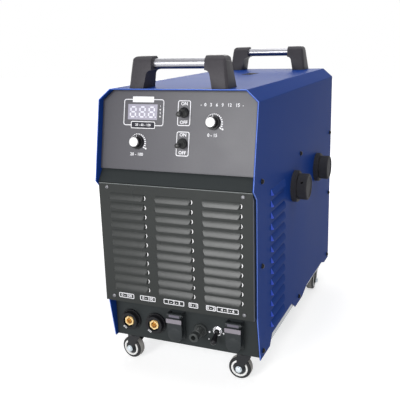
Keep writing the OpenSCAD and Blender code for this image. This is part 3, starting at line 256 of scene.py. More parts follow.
def finish(name, colour, rough, metallic=0.0, specular=0.5, grain=900.0, bump=0.02, patches=14.0, shade=0.12,
           rough_change=0.08, brushed=None):
    """Procedural finish: colour and roughness vary with the grain, whose height is bumped in millimetres."""
    if name in bpy.data.materials:
        return bpy.data.materials[name]
    material = bpy.data.materials.new(name)
    material.use_nodes = True
    tree = material.node_tree
    shader = tree.nodes["Principled BSDF"]
    shader.inputs["Metallic"].default_value = metallic
    shader.inputs["Specular IOR Level"].default_value = specular
    if brushed:
        pattern = group_node(tree, "Brushed lines", brushed_group, along=brushed[0], across=brushed[1])
    else:
        pattern = group_node(tree, "Surface grain", grain_group, grain=grain, patches=patches)
    mix = tree.nodes.new("ShaderNodeMix")
    mix.data_type = "RGBA"
    for label, level in (("A", 1 - shade), ("B", 1 + shade)):
        mix.inputs[label].default_value = [min(1.0, c * level) for c in colour[:3]] + [1]
    tree.links.new(pattern.outputs["Shade"], mix.inputs["Factor"])
    tree.links.new(mix.outputs["Result"], shader.inputs["Base Color"])
    source = pattern.outputs["Shade"] if brushed else pattern.outputs["Patch"]
    change = maths(tree, "MULTIPLY", source, 2 * rough_change)
    tree.links.new(maths(tree, "ADD", change, rough - rough_change), shader.inputs["Roughness"])
    relief = tree.nodes.new("ShaderNodeBump")
    relief.inputs["Strength"].default_value = 1.0
    relief.inputs["Distance"].default_value = bump * MM
    tree.links.new(pattern.outputs["Height"], relief.inputs["Height"])
    tree.links.new(relief.outputs["Normal"], shader.inputs["Normal"])
    return material


FINISHES = {
    "blue_powder_coat": ("cover", 0.42, dict(
        specular=0.012, grain=420, bump=0.012, patches=5, shade=0.05, rough_change=0.04,
    )),
    "grey_panel_coat": ("panel", 0.4, dict(specular=0.45, grain=430, bump=0.035, patches=9, shade=0.3)),
    "dark_frame_coat": ("frame", 0.46, dict(specular=0.16, grain=1200, patches=8)),
    "dark_louver_coat": ("louvers", 0.3, dict(specular=0.36, grain=1200, bump=0.008, patches=8, shade=0.1)),
    "print_ink": ("printing", 0.5, dict(specular=0.2, grain=2500, bump=0.004, shade=0.02, rough_change=0.03)),
    # plain dark colour of the flat patch on the top
    "patch_rubber": (tone(30, 30, 38), 0.6, dict(specular=0.02, grain=1100, bump=0.01, shade=0.08)),
    # light grey on the dark plate: the painted highlight along the louver plate's upper fold
    "worn_edge": (tone(112, 116, 116), 0.4, dict(specular=0.3, grain=1400, bump=0.01, shade=0.15)),
    # lighter blue than the cover: the painted highlight on the side louvers' front ends
    "drawn_coat": (tone(58, 88, 205), 0.34, dict(specular=0.2, bump=0.01, shade=0.1)),
    # lighter blue than the cover: the painted highlight along the cover's front edge
    "edge_coat": (tone(92, 124, 214), 0.34, dict(specular=0.3, bump=0.01, shade=0.1)),
    "label_ground": (tone(60, 60, 66), 0.45, dict(specular=0.02, grain=1100, bump=0.01, shade=0.08)),
    "speckled_plastic": ("moulding", 0.46, dict(specular=0.14, grain=700, bump=0.06, patches=160, shade=0.3)),
    "black_moulding": (tone(28, 28, 31), 0.36, dict(specular=0.2, grain=1600, patches=20, shade=0.15)),
    "outlet_plastic": (tone(40, 44, 46), 0.42, dict(specular=0.25, grain=1600, patches=20, shade=0.15)),
    "fitting_plastic": (tone(58, 61, 61), 0.4, dict(specular=0.25, grain=1600, patches=20)),
    "filter_plastic": (tone(60, 60, 64), 0.45, dict(
        specular=0.02, grain=1500, bump=0.03, patches=20, shade=0.15,
    )),
    "light_grey_plastic": (tone(134, 129, 137), 0.4, dict(specular=0.3, grain=1500, patches=20, shade=0.06)),
    "lilac_grey_plastic": (tone(98, 95, 106), 0.38, dict(specular=0.3, grain=1500, patches=20, shade=0.06)),
    "white_moulding": (tone(238, 238, 237), 0.34, dict(specular=0.3, grain=1500, bump=0.01, shade=0.03)),
    "matt_rubber": (tone(30, 31, 31), 0.36, dict(grain=2600, bump=0.04, patches=30, shade=0.2)),
    "tyre_rubber": (tone(34, 35, 37), 0.46, dict(
        specular=0.3, grain=1900, bump=0.03, patches=40, shade=0.15,
    )),
    "worn_tread": (tone(160, 158, 154), 0.6, dict(specular=0.2, bump=0.05, patches=60, shade=0.25)),
    "wheel_body": (tone(44, 47, 50), 0.42, dict(specular=0.3, grain=1900, patches=40, shade=0.1)),
    "chrome": (tone(150, 150, 155), 0.3, dict(
        metallic=1.0, brushed=(30, 700), bump=0.003, shade=0.05, rough_change=0.04,
    )),
    "polished_chrome": (tone(214, 214, 218), 0.1, dict(
        metallic=1.0, grain=60, bump=0.003, shade=0.02, rough_change=0.03,
    )),
    # real aluminium on the knob caps, and the colour of the painted glints on the front louvers
    "bright_aluminium": (tone(232, 231, 232), 0.34, dict(
        metallic=0.35, brushed=(400, 400), bump=0.01, shade=0.05,
    )),
    "brass": (tone(234, 206, 150), 0.36, dict(metallic=0.8, brushed=(60, 1500), bump=0.01)),
    "zinc_plate": (tone(178, 181, 184), 0.42, dict(
        metallic=0.9, grain=120, bump=0.01, patches=45, shade=0.15, rough_change=0.12,
    )),
    "steel": (tone(176, 178, 182), 0.3, dict(metallic=1.0, brushed=(300, 1800), bump=0.006, shade=0.1)),
    "zinc_bolt": (tone(222, 230, 236), 0.34, dict(metallic=0.25, brushed=(600, 1800), bump=0.006, shade=0.1)),
    "black_steel": (tone(36, 37, 40), 0.36, dict(
        metallic=0.3, specular=0.35, grain=1500, bump=0.015, shade=0.15,
    )),
    "black_screw_head": (tone(20, 20, 22), 0.3, dict(
        specular=0.12, grain=1500, bump=0.01, patches=60, shade=0.15,
    )),
    "dark_screw": (tone(128, 128, 132), 0.28, dict(
        metallic=0.8, grain=700, bump=0.01, patches=300, shade=0.2,
    )),
    "sand_cast_aluminium": (tone(168, 170, 172), 0.5, dict(metallic=0.9, grain=700, bump=0.08, patches=30)),
    "copper_winding": (tone(150, 84, 48), 0.35, dict(metallic=0.7, brushed=(4, 1100), bump=0.25, shade=0.3)),
    "iron_core": (tone(92, 62, 44), 0.55, dict(metallic=0.4, brushed=(1800, 20), bump=0.06, shade=0.2)),
    "blue_sleeve": (tone(34, 54, 104), 0.3, dict(grain=500, bump=0.01, shade=0.06)),
    "board_resin": (tone(24, 84, 52), 0.45, dict(grain=260, patches=120, shade=0.25)),
    "display_film": (tone(158, 155, 170), 0.24, dict(
        specular=0.3, grain=800, bump=0.003, patches=60, shade=0.04,
    )),
    "segment_light": (tone(222, 221, 232), 0.35, dict(specular=0.2, bump=0.003, shade=0.02)),
}


def surface(name):
    """The named finish, made when it is first asked for."""
    colour, rough, rest = FINISHES[name]
    if isinstance(colour, str):
        colour = getattr(colours(), colour)
    return finish(name, colour, rough, **rest)


NODE_FINISH = {
    "blue_powder_coat": ["outer_cover"],
    "grey_panel_coat": ["control_panel"],
    "dark_frame_coat": ["front_frame", "rear_panel"],
    "dark_louver_coat": ["louver_plate"],
    "zinc_plate": ["base_plate", "shelf", "caster_stems"],
    "black_steel": ["cover_screws", *("caster_fork_" + k for k in "1234")],
    "dark_screw": ["louver_plate_screws"],
    "steel": ["handle_bolts", "potentiometers", "outlet_hinge_pins"],
    "chrome": ["front_handle_bar", "rear_handle_bar"],
    "polished_chrome": ["pump_switch_body"],
    "filter_plastic": ["front_air_filter", "rear_air_filter", "filter_base_rings"],
    "black_moulding": [
        "left_knob", "right_knob", "display_module", "toggle_bushings", "pump_switch_lever",
        "left_output_socket", "right_output_socket", "power_modules", "fan_frame",
        "fan_rotor", "breaker", "mains_gland",
    ],
    "fitting_plastic": ["torch_fitting"],
    "outlet_plastic": ["left_outlet", "right_outlet", "left_outlet_lid", "right_outlet_lid"],
    "matt_rubber": ["upper_toggle", "lower_toggle"],
    "white_moulding": ["breaker_lever"],
    "brass": ["socket_inserts", "air_nipple", "solenoid_valve"],
    "tyre_rubber": ["caster_wheel_" + k for k in "1234"],
    "sand_cast_aluminium": ["compressor_motor", "compressor_heads", "heatsink"],
    "iron_core": ["main_transformer"],
    "copper_winding": ["output_choke"],
    "blue_sleeve": ["capacitor_bank"],
    "board_resin": ["control_board"],
    "display_film": ["display_window"],
    "speckled_plastic": ["front_handle_legs", "rear_handle_legs"],
}


def give(obj, material):
    """The object's only material."""
    obj.data.materials.clear()
    obj.data.materials.append(material)


def placed(name, data):
    """New object in the scene."""
    obj = bpy.data.objects.new(name, data)
    bpy.context.scene.collection.objects.link(obj)
    return obj


# ---- mesh helpers


# edges look smooth below the first angle, and are rounded above the second if they are longer than this
SMOOTH = math.radians(35)
SHARP = math.radians(28)
SHORT_EDGE = 5 * MM


def thicken(part, thick):
    """Raises a flat bmesh into a closed plate."""
    raised = bmesh.ops.extrude_face_region(part, geom=part.faces[:])["geom"]
    top = [g for g in raised if isinstance(g, bmesh.types.BMVert)]
    bmesh.ops.translate(part, vec=(0, 0, thick), verts=top)


def swept(section, radius, start, axis, sweep, steps):
    """Closed band: a square that section sizes and stands up, turned from its start round an axis."""
    part = bmesh.new()
    bmesh.ops.create_grid(part, x_segments=1, y_segments=1, size=0.5)
    part.transform(start @ Matrix.Translation((radius * MM, 0, 0)) @ section)
    bmesh.ops.spin(part, geom=part.verts[:] + part.edges[:] + part.faces[:], cent=(0, 0, 0), axis=axis,
                   dvec=(0, 0, 0), angle=math.radians(sweep), steps=steps, use_merge=False,
                   use_duplicate=False)
    return part


class Shape:
    """Collects closed shapes made by bmesh operators into one mesh."""

    def __init__(self):
        self.whole = bmesh.new()

    def add(self, part, matrix):
        """Moves a finished bmesh to its place and joins it to the whole."""
        bmesh.ops.recalc_face_normals(part, faces=part.faces)
        part.transform(matrix)
        mesh = bpy.data.meshes.new("part")
        part.to_mesh(mesh)
        part.free()
        self.whole.from_mesh(mesh)
        bpy.data.meshes.remove(mesh)

    def plate(self, matrix, width, height, thick, radius=0.0, line=0.0):
        """Flat plate with round corners, in metres, or its outline alone if line is its width."""
        part = bmesh.new()
        bmesh.ops.create_grid(part, x_segments=1, y_segments=1, size=0.5)
        bmesh.ops.scale(part, vec=(width, height, 1), verts=part.verts)
        if radius:
            bmesh.ops.bevel(part, geom=part.verts, offset=radius, offset_type="OFFSET", segments=5,
                            profile=0.5, affect="VERTICES", material=-1)
        if line:
            centre = list(part.faces)
            bmesh.ops.inset_region(part, faces=centre, thickness=line, use_even_offset=True,
                                   use_boundary=True)
            bmesh.ops.delete(part, geom=centre, context="FACES")
        thicken(part, thick)
        self.add(part, matrix)

    def disc(self, matrix, radius, thick, sides=32, top=None):
        """Disc, prism or blunt cone standing on its place."""
        part = bmesh.new()
        bmesh.ops.create_cone(part, cap_ends=True, segments=sides, radius1=radius,
                              radius2=radius if top is None else top, depth=thick)
        bmesh.ops.translate(part, vec=(0, 0, thick / 2), verts=part.verts)
        self.add(part, matrix)

    def bar(self, matrix, length, width, thick):
        """Flat bar with pointed ends, as a display's segment."""
        part = bmesh.new()
        bmesh.ops.create_circle(part, cap_ends=True, segments=6, radius=length / 2)
        for vert in part.verts:
            if abs(vert.co.y) > length * 0.1:
                vert.co.y = math.copysign(width / 2, vert.co.y)
                vert.co.x = math.copysign(length / 2 - width / 2, vert.co.x)
        thicken(part, thick)
        self.add(part, matrix)

    def turned(self, matrix, profile, steps=48):
        """Body turned from radii and heights in millimetres, which end on the axis or close on themselves."""
        part = bmesh.new()
        verts = [part.verts.new((r * MM, 0, z * MM)) for r, z in profile]
        edges = [part.edges.new(pair) for pair in zip(verts, verts[1:])]
        if profile[0][0] > 0 and profile[-1][0] > 0:
            edges.append(part.edges.new((verts[-1], verts[0])))
        bmesh.ops.spin(part, geom=verts + edges, cent=(0, 0, 0), axis=(0, 0, 1), dvec=(0, 0, 0),
                       angle=2 * math.pi, steps=steps, use_merge=True, use_duplicate=False)
        bmesh.ops.remove_doubles(part, verts=part.verts, dist=1e-6)
        self.add(part, matrix)

    def words(self, matrix, text, height, thick):
        """Plain numbers or marks, centred on their place."""
        curve = bpy.data.curves.new("words", "FONT")
        curve.body = text
        curve.size = height
        curve.align_x = "CENTER"
        curve.align_y = "CENTER"
        curve.extrude = thick / 2
        curve.offset = height * 0.018
        curve.resolution_u = 2
        writer = placed("words", curve)
        bpy.context.view_layer.update()
        flat = bpy.data.meshes.new_from_object(writer)
        part = bmesh.new()
        part.from_mesh(flat)
        bmesh.ops.translate(part, vec=(0, 0, thick / 2), verts=part.verts)
        bpy.data.objects.remove(writer)
        bpy.data.curves.remove(curve)
        bpy.data.meshes.remove(flat)
        self.add(part, matrix)

    def piece(self, name, made_of, body, slot):
        """Makes the object with its finish and smooth edges, and lets it ride on a body if one is named."""
        for face in self.whole.faces:
            face.smooth = True
        for edge in self.whole.edges:
            edge.smooth = len(edge.link_faces) == 2 and edge.calc_face_angle(0) < SMOOTH
        mesh = bpy.data.meshes.new(name)
        self.whole.to_mesh(mesh)
        self.whole.free()
        obj = placed(name, mesh)
        give(obj, surface(made_of))
        if body:
            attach(obj, body)
        return obj

    def printed(self, name):
        """Makes the object as printing on the case."""
        return self.piece(name, "print_ink", "case", "white_plastic")


def rounded_copy(node, width):
    """Copy of a CAD node whose long sharp edges are rounded, to be shown in its place."""
    shape = Shape()
    bm = shape.whole
    bm.from_mesh(nodes[node].data)
    bmesh.ops.remove_doubles(bm, verts=bm.verts, dist=1e-6)
    bmesh.ops.dissolve_limit(bm, angle_limit=math.radians(0.5), verts=bm.verts, edges=bm.edges)
    sharp = [
        e for e in bm.edges
        if len(e.link_faces) == 2 and e.calc_face_angle(0) > SHARP and e.calc_length() > SHORT_EDGE
    ]
    bmesh.ops.bevel(bm, geom=sharp, offset=width, offset_type="OFFSET", segments=2, profile=0.5,
                    affect="EDGES", clamp_overlap=True, material=-1)
    return shape


# ---- operators


class PLASMA_OT_finishes(bpy.types.Operator):
    """Gives every part of the frame its finish"""

    bl_idname = "plasma.finishes"
    bl_label = "Finishes"

    def execute(self, context):
        left = set(nodes)
        for made_of, names in NODE_FINISH.items():
            for name in names:
                give(nodes[name], surface(made_of))
                left.discard(name)
        if left:
            raise RuntimeError("no finish for " + ", ".join(sorted(left)))
        return {"FINISHED"}


class PLASMA_OT_handles(bpy.types.Operator):
    """Rounds the edges of the moulded handle legs"""

    bl_idname = "plasma.handles"
    bl_label = "Handle legs"

    def execute(self, context):
        for place in ("front", "rear"):
            node = place + "_handle_legs"
            shape = rounded_copy(node, sizes().edge)
            legs = shape.piece(place + "_handle_mouldings", "speckled_plastic", "case", "handle_plastic")
            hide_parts(node)
        return {"FINISHED"}


class PLASMA_OT_printing(bpy.types.Operator):
    """Prints the frames, scales and marks on the control panel and the louver plate"""

    bl_idname = "plasma.printing"
    bl_label = "Printing"

    # frames as left, right, low and high side from the panel's middle and nose, in millimetres
    DISPLAY_FRAME = (-115, -28, 110, 161)
    SWITCH_FRAMES = ((1.2, 27.8, 111.8, 159.6), (1.2, 27.8, 54.6, 101.2))
    RANGE_FRAME = (-98, -45.4, 104.4, 118.2)
    # the boxes along the louver plate: left and right side and the numbers in each
    LABELS = (
        (-131, -96, "0 - 100"), (-82, -47, "0 - 100"), (-28.5, 16.6, "1 - 2 - 3"), (26.5, 46.8, "0 - 1"),
        (63.7, 84, "0 - 2"), (86, 131, "4 - 5 - 6"),
    )
    LABEL_LOW, LABEL_HIGH = 106.2, 116.8
    # round marks by the lever switch: place across, height and radius
    SWITCH_MARKS = ((54, 40, 1.9), (84.6, 41.4, 1.7), (52.3, 24, 1.3))
    # a knob's scale: marks, turn of the first and from first to last in degrees, lowest and growth
    MARKS = 15
    FIRST_TURN = -66
    SCALE_TURN = 190
    LOWEST = 0.8
    GROWTH = 0.24

    def outline(self, shape, face, x0, x1, y0, y1, radius, line=None):
        """Outline from its four sides in millimetres."""
        shape.plate(on(face, (x0 + x1) / 2, (y0 + y1) / 2), (x1 - x0) * MM, (y1 - y0) * MM, sizes().ink,
                    radius * MM, line or sizes().line)

    def knob_scale(self, shape, knob, text):
        """Marks that grow clockwise round a knob, a dot at their end and the range in numbers below."""
        for k in range(self.MARKS):
            high = (self.LOWEST + self.GROWTH * k) * MM
            turn = self.FIRST_TURN + self.SCALE_TURN * k / (self.MARKS - 1)
            place = on(knob, 0, 0, 0, turn) @ Matrix.Translation((0, sizes().scale_radius + high / 2, 0))
            shape.plate(place, 2.2 * MM, high, sizes().ink)
        shape.disc(on(knob, 18.6, -11.6), 1.8 * MM, sizes().ink)
        shape.words(on(knob, -1, -23.5), text, 8.4 * MM, sizes().ink)

    def control_panel(self):
        ink = sizes().ink
        shape = Shape()
        self.outline(shape, CONTROL_FACE, *self.DISPLAY_FRAME, 5)
        for x0, x1, low, high in self.SWITCH_FRAMES:
            self.outline(shape, CONTROL_FACE, x0, x1, low, high, 4)
            for text, y in (("ON", high - 6.4), ("OFF", low + 6.4)):
                shape.words(on(CONTROL_FACE, (x0 + x1) / 2, y), text, 9 * MM, ink)
        self.knob_scale(shape, LEFT_KNOB, "20 - 100")
        self.knob_scale(shape, RIGHT_KNOB, "0 - 15")
        shape.words(on(CONTROL_FACE, 90, 152), "-  0   3   6   9   12   15  -", 8.6 * MM, ink)
        for k, y in enumerate((148, 134.8)):
            shape.words(on(CONTROL_FACE, -35.5, y), str(k + 1), 5 * MM, ink)
        shape.printed("panel_printing")

    def display_labels(self):
        raised = CONTROL_FACE @ Matrix.Translation((0, 0, 0.3 * MM))
        shape = Shape()
        shape.plate(on(CONTROL_FACE, -73, 160.4, 0.1), 46 * MM, 11 * MM, 0.3 * MM, 0.8 * MM)
        self.outline(shape, raised, *self.RANGE_FRAME, 2.5, 1.3 * MM)
        x0, x1, low, high = self.RANGE_FRAME
        x, y = (x0 + x1) / 2, (low + high) / 2
        shape.words(on(raised, x, y), "20 - 60 - 100", 6.4 * MM, sizes().ink)
        shape.printed("display_plate")

        shape = Shape()
        shape.plate(on(CONTROL_FACE, x, y, 0.05), 52 * MM, 13.2 * MM, 0.25 * MM, 2.2 * MM)
        shape.piece("display_label_ground", "label_ground", "case", "panel_paint")

    def socket_labels(self):
        shape = Shape()
        for x0, x1, text in self.LABELS:
            self.outline(shape, LOUVER_FACE, x0, x1, self.LABEL_LOW, self.LABEL_HIGH, 2, 1.4 * MM)
            shape.words(on(LOUVER_FACE, (x0 + x1) / 2, 111.4), text, 8.6 * MM, sizes().ink)
        shape.printed("socket_labels")

        shape = Shape()
        for x, z, radius in self.SWITCH_MARKS:
            shape.disc(on(SOCKET_FACE, x, z), radius * MM, 0.25 * MM, 24)
        shape.printed("pump_switch_marks")

    def execute(self, context):
        self.control_panel()
        self.display_labels()
        self.socket_labels()
        return {"FINISHED"}


class PLASMA_OT_display(bpy.types.Operator):
    """Builds the display's three digits and its two indicator lamps"""

    bl_idname = "plasma.display"
    bl_label = "Display"

    # places on the panel in millimetres: the digits' middles, the lamps, and how deep the window lies
    DIGITS_X = (-94.6, -74.6, -54.6)
    DIGITS_Y = 136.3
    LAMPS_X = -35.5
    LAMPS_Y = (141.4, 128.2)
    WINDOW = -0.28
    LAMP_OUTLINE = [(0, 1.5), (0.9, 1.25), (1.5, 0.5), (1.6, 0), (0, 0)]

    def digit(self, shape, x, y):
        """All seven segments of one slanted digit, and its point."""
        wide, high, slant, thick = 11, 19, 0.08, 0.12
        bars = [(0, high / 2, 0), (0, 0, 0), (0, -high / 2, 0)]
        bars += [(sx * wide / 2, sy * high / 4, 90) for sx in (-1, 1) for sy in (-1, 1)]
        for dx, dy, turn in bars:
            place = on(CONTROL_FACE, x + dx + dy * slant, y + dy, self.WINDOW, turn)
            length = wide - 0.6 if turn == 0 else high / 2 - 0.6
            shape.bar(place, length * MM, 3 * MM, thick * MM)
        point = on(CONTROL_FACE, x + wide / 2 + 3, y - high / 2, self.WINDOW)
        shape.disc(point, 1.3 * MM, thick * MM, 20)

    def execute(self, context):
        shape = Shape()
        for x in self.DIGITS_X:
            self.digit(shape, x, self.DIGITS_Y)
        shape.piece("display_digits", "segment_light", "case", "white_plastic")

        shape = Shape()
        for y in self.LAMPS_Y:
            shape.turned(on(CONTROL_FACE, self.LAMPS_X, y), self.LAMP_OUTLINE, 24)
        shape.piece("indicator_lamps", "white_moulding", "case", "white_plastic")
        return {"FINISHED"}


class PLASMA_OT_knobs(bpy.types.Operator):
    """Caps the two knobs and marks their pointers"""

    bl_idname = "plasma.knobs"
    bl_label = "Knob caps"

    # radius and height in millimetres, from the knob's end
    CAP = [(0, 0.6), (6.8, 0.5), (8.4, 0.2), (9.1, -0.5), (9.2, -1.2), (9.2, -3.5), (8.9, -3.6), (0, -3.6)]
    KNOB_END = 17.5

    def execute(self, context):
        for side, face in (("left", LEFT_KNOB), ("right", RIGHT_KNOB)):
            shape = Shape()
            shape.turned(on(face, 0, 0, self.KNOB_END), self.CAP)
            shape.piece(side + "_knob_cap", "bright_aluminium", side + "_knob_body", "chrome_tube")
            shape = Shape()
            upright = on(face, 0, 9.2, 8.9) @ Matrix.Rotation(math.radians(-90), 4, "X")
            shape.plate(upright, 1.3 * MM, 9 * MM, 1.7 * MM)
            shape.plate(on(face, 0, 11.6, 5.4), 1.3 * MM, 3.0 * MM, 0.25 * MM)
            shape.piece(side + "_knob_pointer", "print_ink", side + "_knob_body", "white_plastic")
        return {"FINISHED"}


class PLASMA_OT_boots(bpy.types.Operator):
    """Draws a rubber boot over each of the two toggle switches, between its ring and the lever's tip"""

    bl_idname = "plasma.boots"
    bl_label = "Switch boots"

    # outline as radius and height in millimetres: flare, three folds, neck and thick tip
    OUTLINE = [
        (0, 2.9), (9.3, 2.9), (9.6, 3.6), (9.1, 4.8), (7.8, 5.9), (7.5, 7.1), (8.1, 8.3), (7.7, 9.6),
        (6.3, 10.6), (6.1, 11.8), (6.8, 13.0), (6.4, 14.2), (5.2, 15.1), (5.0, 16.2), (5.7, 17.4),
        (5.5, 18.8), (4.8, 20.0), (4.7, 21.4), (5.1, 22.8), (5.1, 24.8), (4.7, 26.4), (3.6, 27.7),
        (2.0, 28.4), (0, 28.6),
    ]
    # the stretch over which the boot bends, and the lever's lean at rest
    SOFT_FROM = 3.5 * MM
    SOFT_TO = 12 * MM
    LEAN = math.radians(12)

    def execute(self, context):
        for side in ("upper", "lower"):
            joint = joints[side + "_toggle_flip"]
            pivot = Vector(joint["pos_m"])
            face = plane(pivot, RIGHT, FACE_UP)
            out = -FACE_IN
            shape = Shape()
            shape.turned(face, self.OUTLINE, 40)
            for vert in shape.whole.verts:
                arm = vert.co - pivot
                part = (arm.dot(out) - self.SOFT_FROM) / (self.SOFT_TO - self.SOFT_FROM)
                part = min(1, max(0, part))
                lean = self.LEAN * part * part * (3 - 2 * part)
                vert.co = pivot + Matrix.Rotation(lean, 3, "X") @ arm
            boot = shape.piece(side + "_toggle_boot", "matt_rubber", None, "boot_rubber")
            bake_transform(boot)
            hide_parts(side + "_toggle")
        return {"FINISHED"}


class PLASMA_OT_sockets(bpy.types.Operator):
    """Adds the marks of the output sockets and the bars, strips and round tongues of the outlet lids"""

    bl_idname = "plasma.sockets"
    bl_label = "Sockets and outlets"

    # the two ticks below each socket: radii in millimetres and the turn towards them
    TICKS = (15.6, 18.2)
    TICK_TURN = 214
    # the flats on a lid: name, finish, middle below its top edge, depth, width, height and thickness
    FLATS = (
        ("_lid_bar", "light_grey_plastic", -15.4, -0.05, 34, 9.4, 0.7),
        ("_lid_strip", "lilac_grey_plastic", -5.2, -2.6, 24, 5.2, 0.6),
    )
    TONGUE = [(0, 6.5), (14.6, 6.5), (15.6, 5.9), (16, 5), (16, 0), (0, 0)]

    def execute(self, context):
        shape = Shape()
        for side in ("left", "right"):
            low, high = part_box(side + "_output_socket")
            face = plane(Vector(((low.x + high.x) / 2, low.y, (low.z + high.z) / 2)), RIGHT, UP)
            for radius in self.TICKS:
                place = on(face, 0, 0, 0.02, self.TICK_TURN) @ Matrix.Translation((0, radius * MM, 0))
                shape.plate(place, 8.6 * MM, 1.1 * MM, 0.2 * MM)
        shape.printed("socket_marks")
        for side in ("left", "right"):
            low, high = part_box(side + "_outlet_lid")
            face = plane(Vector(((low.x + high.x) / 2, low.y, high.z)), RIGHT, UP)
            for name, made_of, y, out, wide, high, thick in self.FLATS:
                shape = Shape()
                shape.plate(on(face, 0, y, out), wide * MM, high * MM, thick * MM, 0.9 * MM)
                shape.piece(side + name, made_of, side + "_lid_body", "lid_plastic")
            shape = Shape()
            shape.turned(on(face, 0, -46.6, -8.7), self.TONGUE, 64)
            shape.plate(on(face, 0, -34.8, -8.6), 32 * MM, 23 * MM, 6.3 * MM, 0.6 * MM)
            shape.piece(side + "_lid_tongue", "outlet_plastic", side + "_lid_body", "lid_plastic")
        return {"FINISHED"}


class PLASMA_OT_casters(bpy.types.Operator):
    """Builds the wheels with their rings and the bolts of the axles"""

    bl_idname = "plasma.casters"
    bl_label = "Casters"

    # in millimetres: half a wheel's width, the tyre's height, from the wheel to the fork leg's outer face,
    # and from there to the bolt's end
    HALF_WHEEL = 10.5
    TYRE = 6.2
    FORK = 3.5
    BOLT = 4.4

    def pair(self, face, outline):
        """The same body turned on both sides of the wheel."""
        shape = Shape()
        for side in (-1, 1):
            shape.turned(face, [(radius, side * height) for radius, height in outline], 64)
        return shape

    def wheel(self, k, face, r, h):
        """Tyre, tread band, white rings and dished centre of wheel k, r and h its radius and half width."""
        body = f"caster_{k}_wheel_body"
        rim = r - self.TYRE
        shape = self.pair(face, [
            (rim, h - 1.6), (rim + 0.3, h - 1.1), (r - 4, h - 0.7), (r - 2, h - 1.4), (r - 0.8, h - 2.6),
            (r - 0.15, h - 4.4), (r - 1.2, h - 4.6), (rim, h - 4.6),
        ])
        shape.piece(f"tyre_{k}", "tyre_rubber", body, "wheel_tread")
        shape = Shape()
        shape.turned(face, [
            (rim, h - 4.5), (r - 0.15, h - 4.5), (r, h - 5.2),
            (r, 5.2 - h), (r - 0.15, 4.5 - h), (rim, 4.5 - h),
        ], 64)
        shape.piece(f"tread_{k}", "worn_tread", body, "wheel_tread")
        shape = self.pair(face, [
            (rim + 0.2, h - 1.5), (rim - 0.2, h - 0.3), (rim - 0.8, h), (rim - 3, h), (rim - 3.6, h - 0.3),
            (rim - 4.2, h - 1.8), (rim - 4.2, h - 3), (rim + 0.2, h - 3),
        ])
        shape.piece(f"wheel_ring_{k}", "white_moulding", body, "white_plastic")
        shape = Shape()
        face_line = [
            (rim + 0.1, h - 2.6), (rim - 4, h - 2.2), (rim - 5.5, h - 3), (9.5, h - 3), (8.6, h - 2.2),
            (8.2, h + 0.3), (8, h + 0.5), (4.2, h + 0.5),
        ]
        shape.turned(face, face_line + [(radius, -z) for radius, z in reversed(face_line)], 64)
        centre = shape.piece(f"wheel_centre_{k}", "wheel_body", body, "wheel_tread")
        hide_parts("caster_wheel_" + k)

    def bolts(self, k, face):
        """Washer, six-sided head and its crown at both ends of the axle of fork k."""
        shape = Shape()
        for side in (0, 1):
            leg = face @ Matrix.Rotation(math.pi * side, 4, "X")
            place = on(leg, 0, 0, self.HALF_WHEEL + self.FORK)
            shape.disc(place, 6.9 * MM, 0.9 * MM, 32)
            shape.disc(on(place, 0, 0, 0.8), 6.1 * MM, (self.BOLT - 1.4) * MM, 6)
            shape.disc(on(place, 0, 0, self.BOLT - 0.7), 5.3 * MM, 0.6 * MM, 32, 4.4 * MM)
        shape.piece(f"axle_bolts_{k}", "zinc_bolt", f"caster_{k}_fork_body", "steel_screw")

    def execute(self, context):
        for k in "1234":
            low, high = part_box("caster_wheel_" + k)
            radius = (high.z - low.z) / 2 / MM
            joint = joints[f"caster_{k}_spin"]
            axis = Vector(joint["axis"])
            face = plane(Vector(joint["pos_m"]), UP.cross(axis), UP)
            self.wheel(k, face, radius, self.HALF_WHEEL)
            self.bolts(k, face)
        return {"FINISHED"}


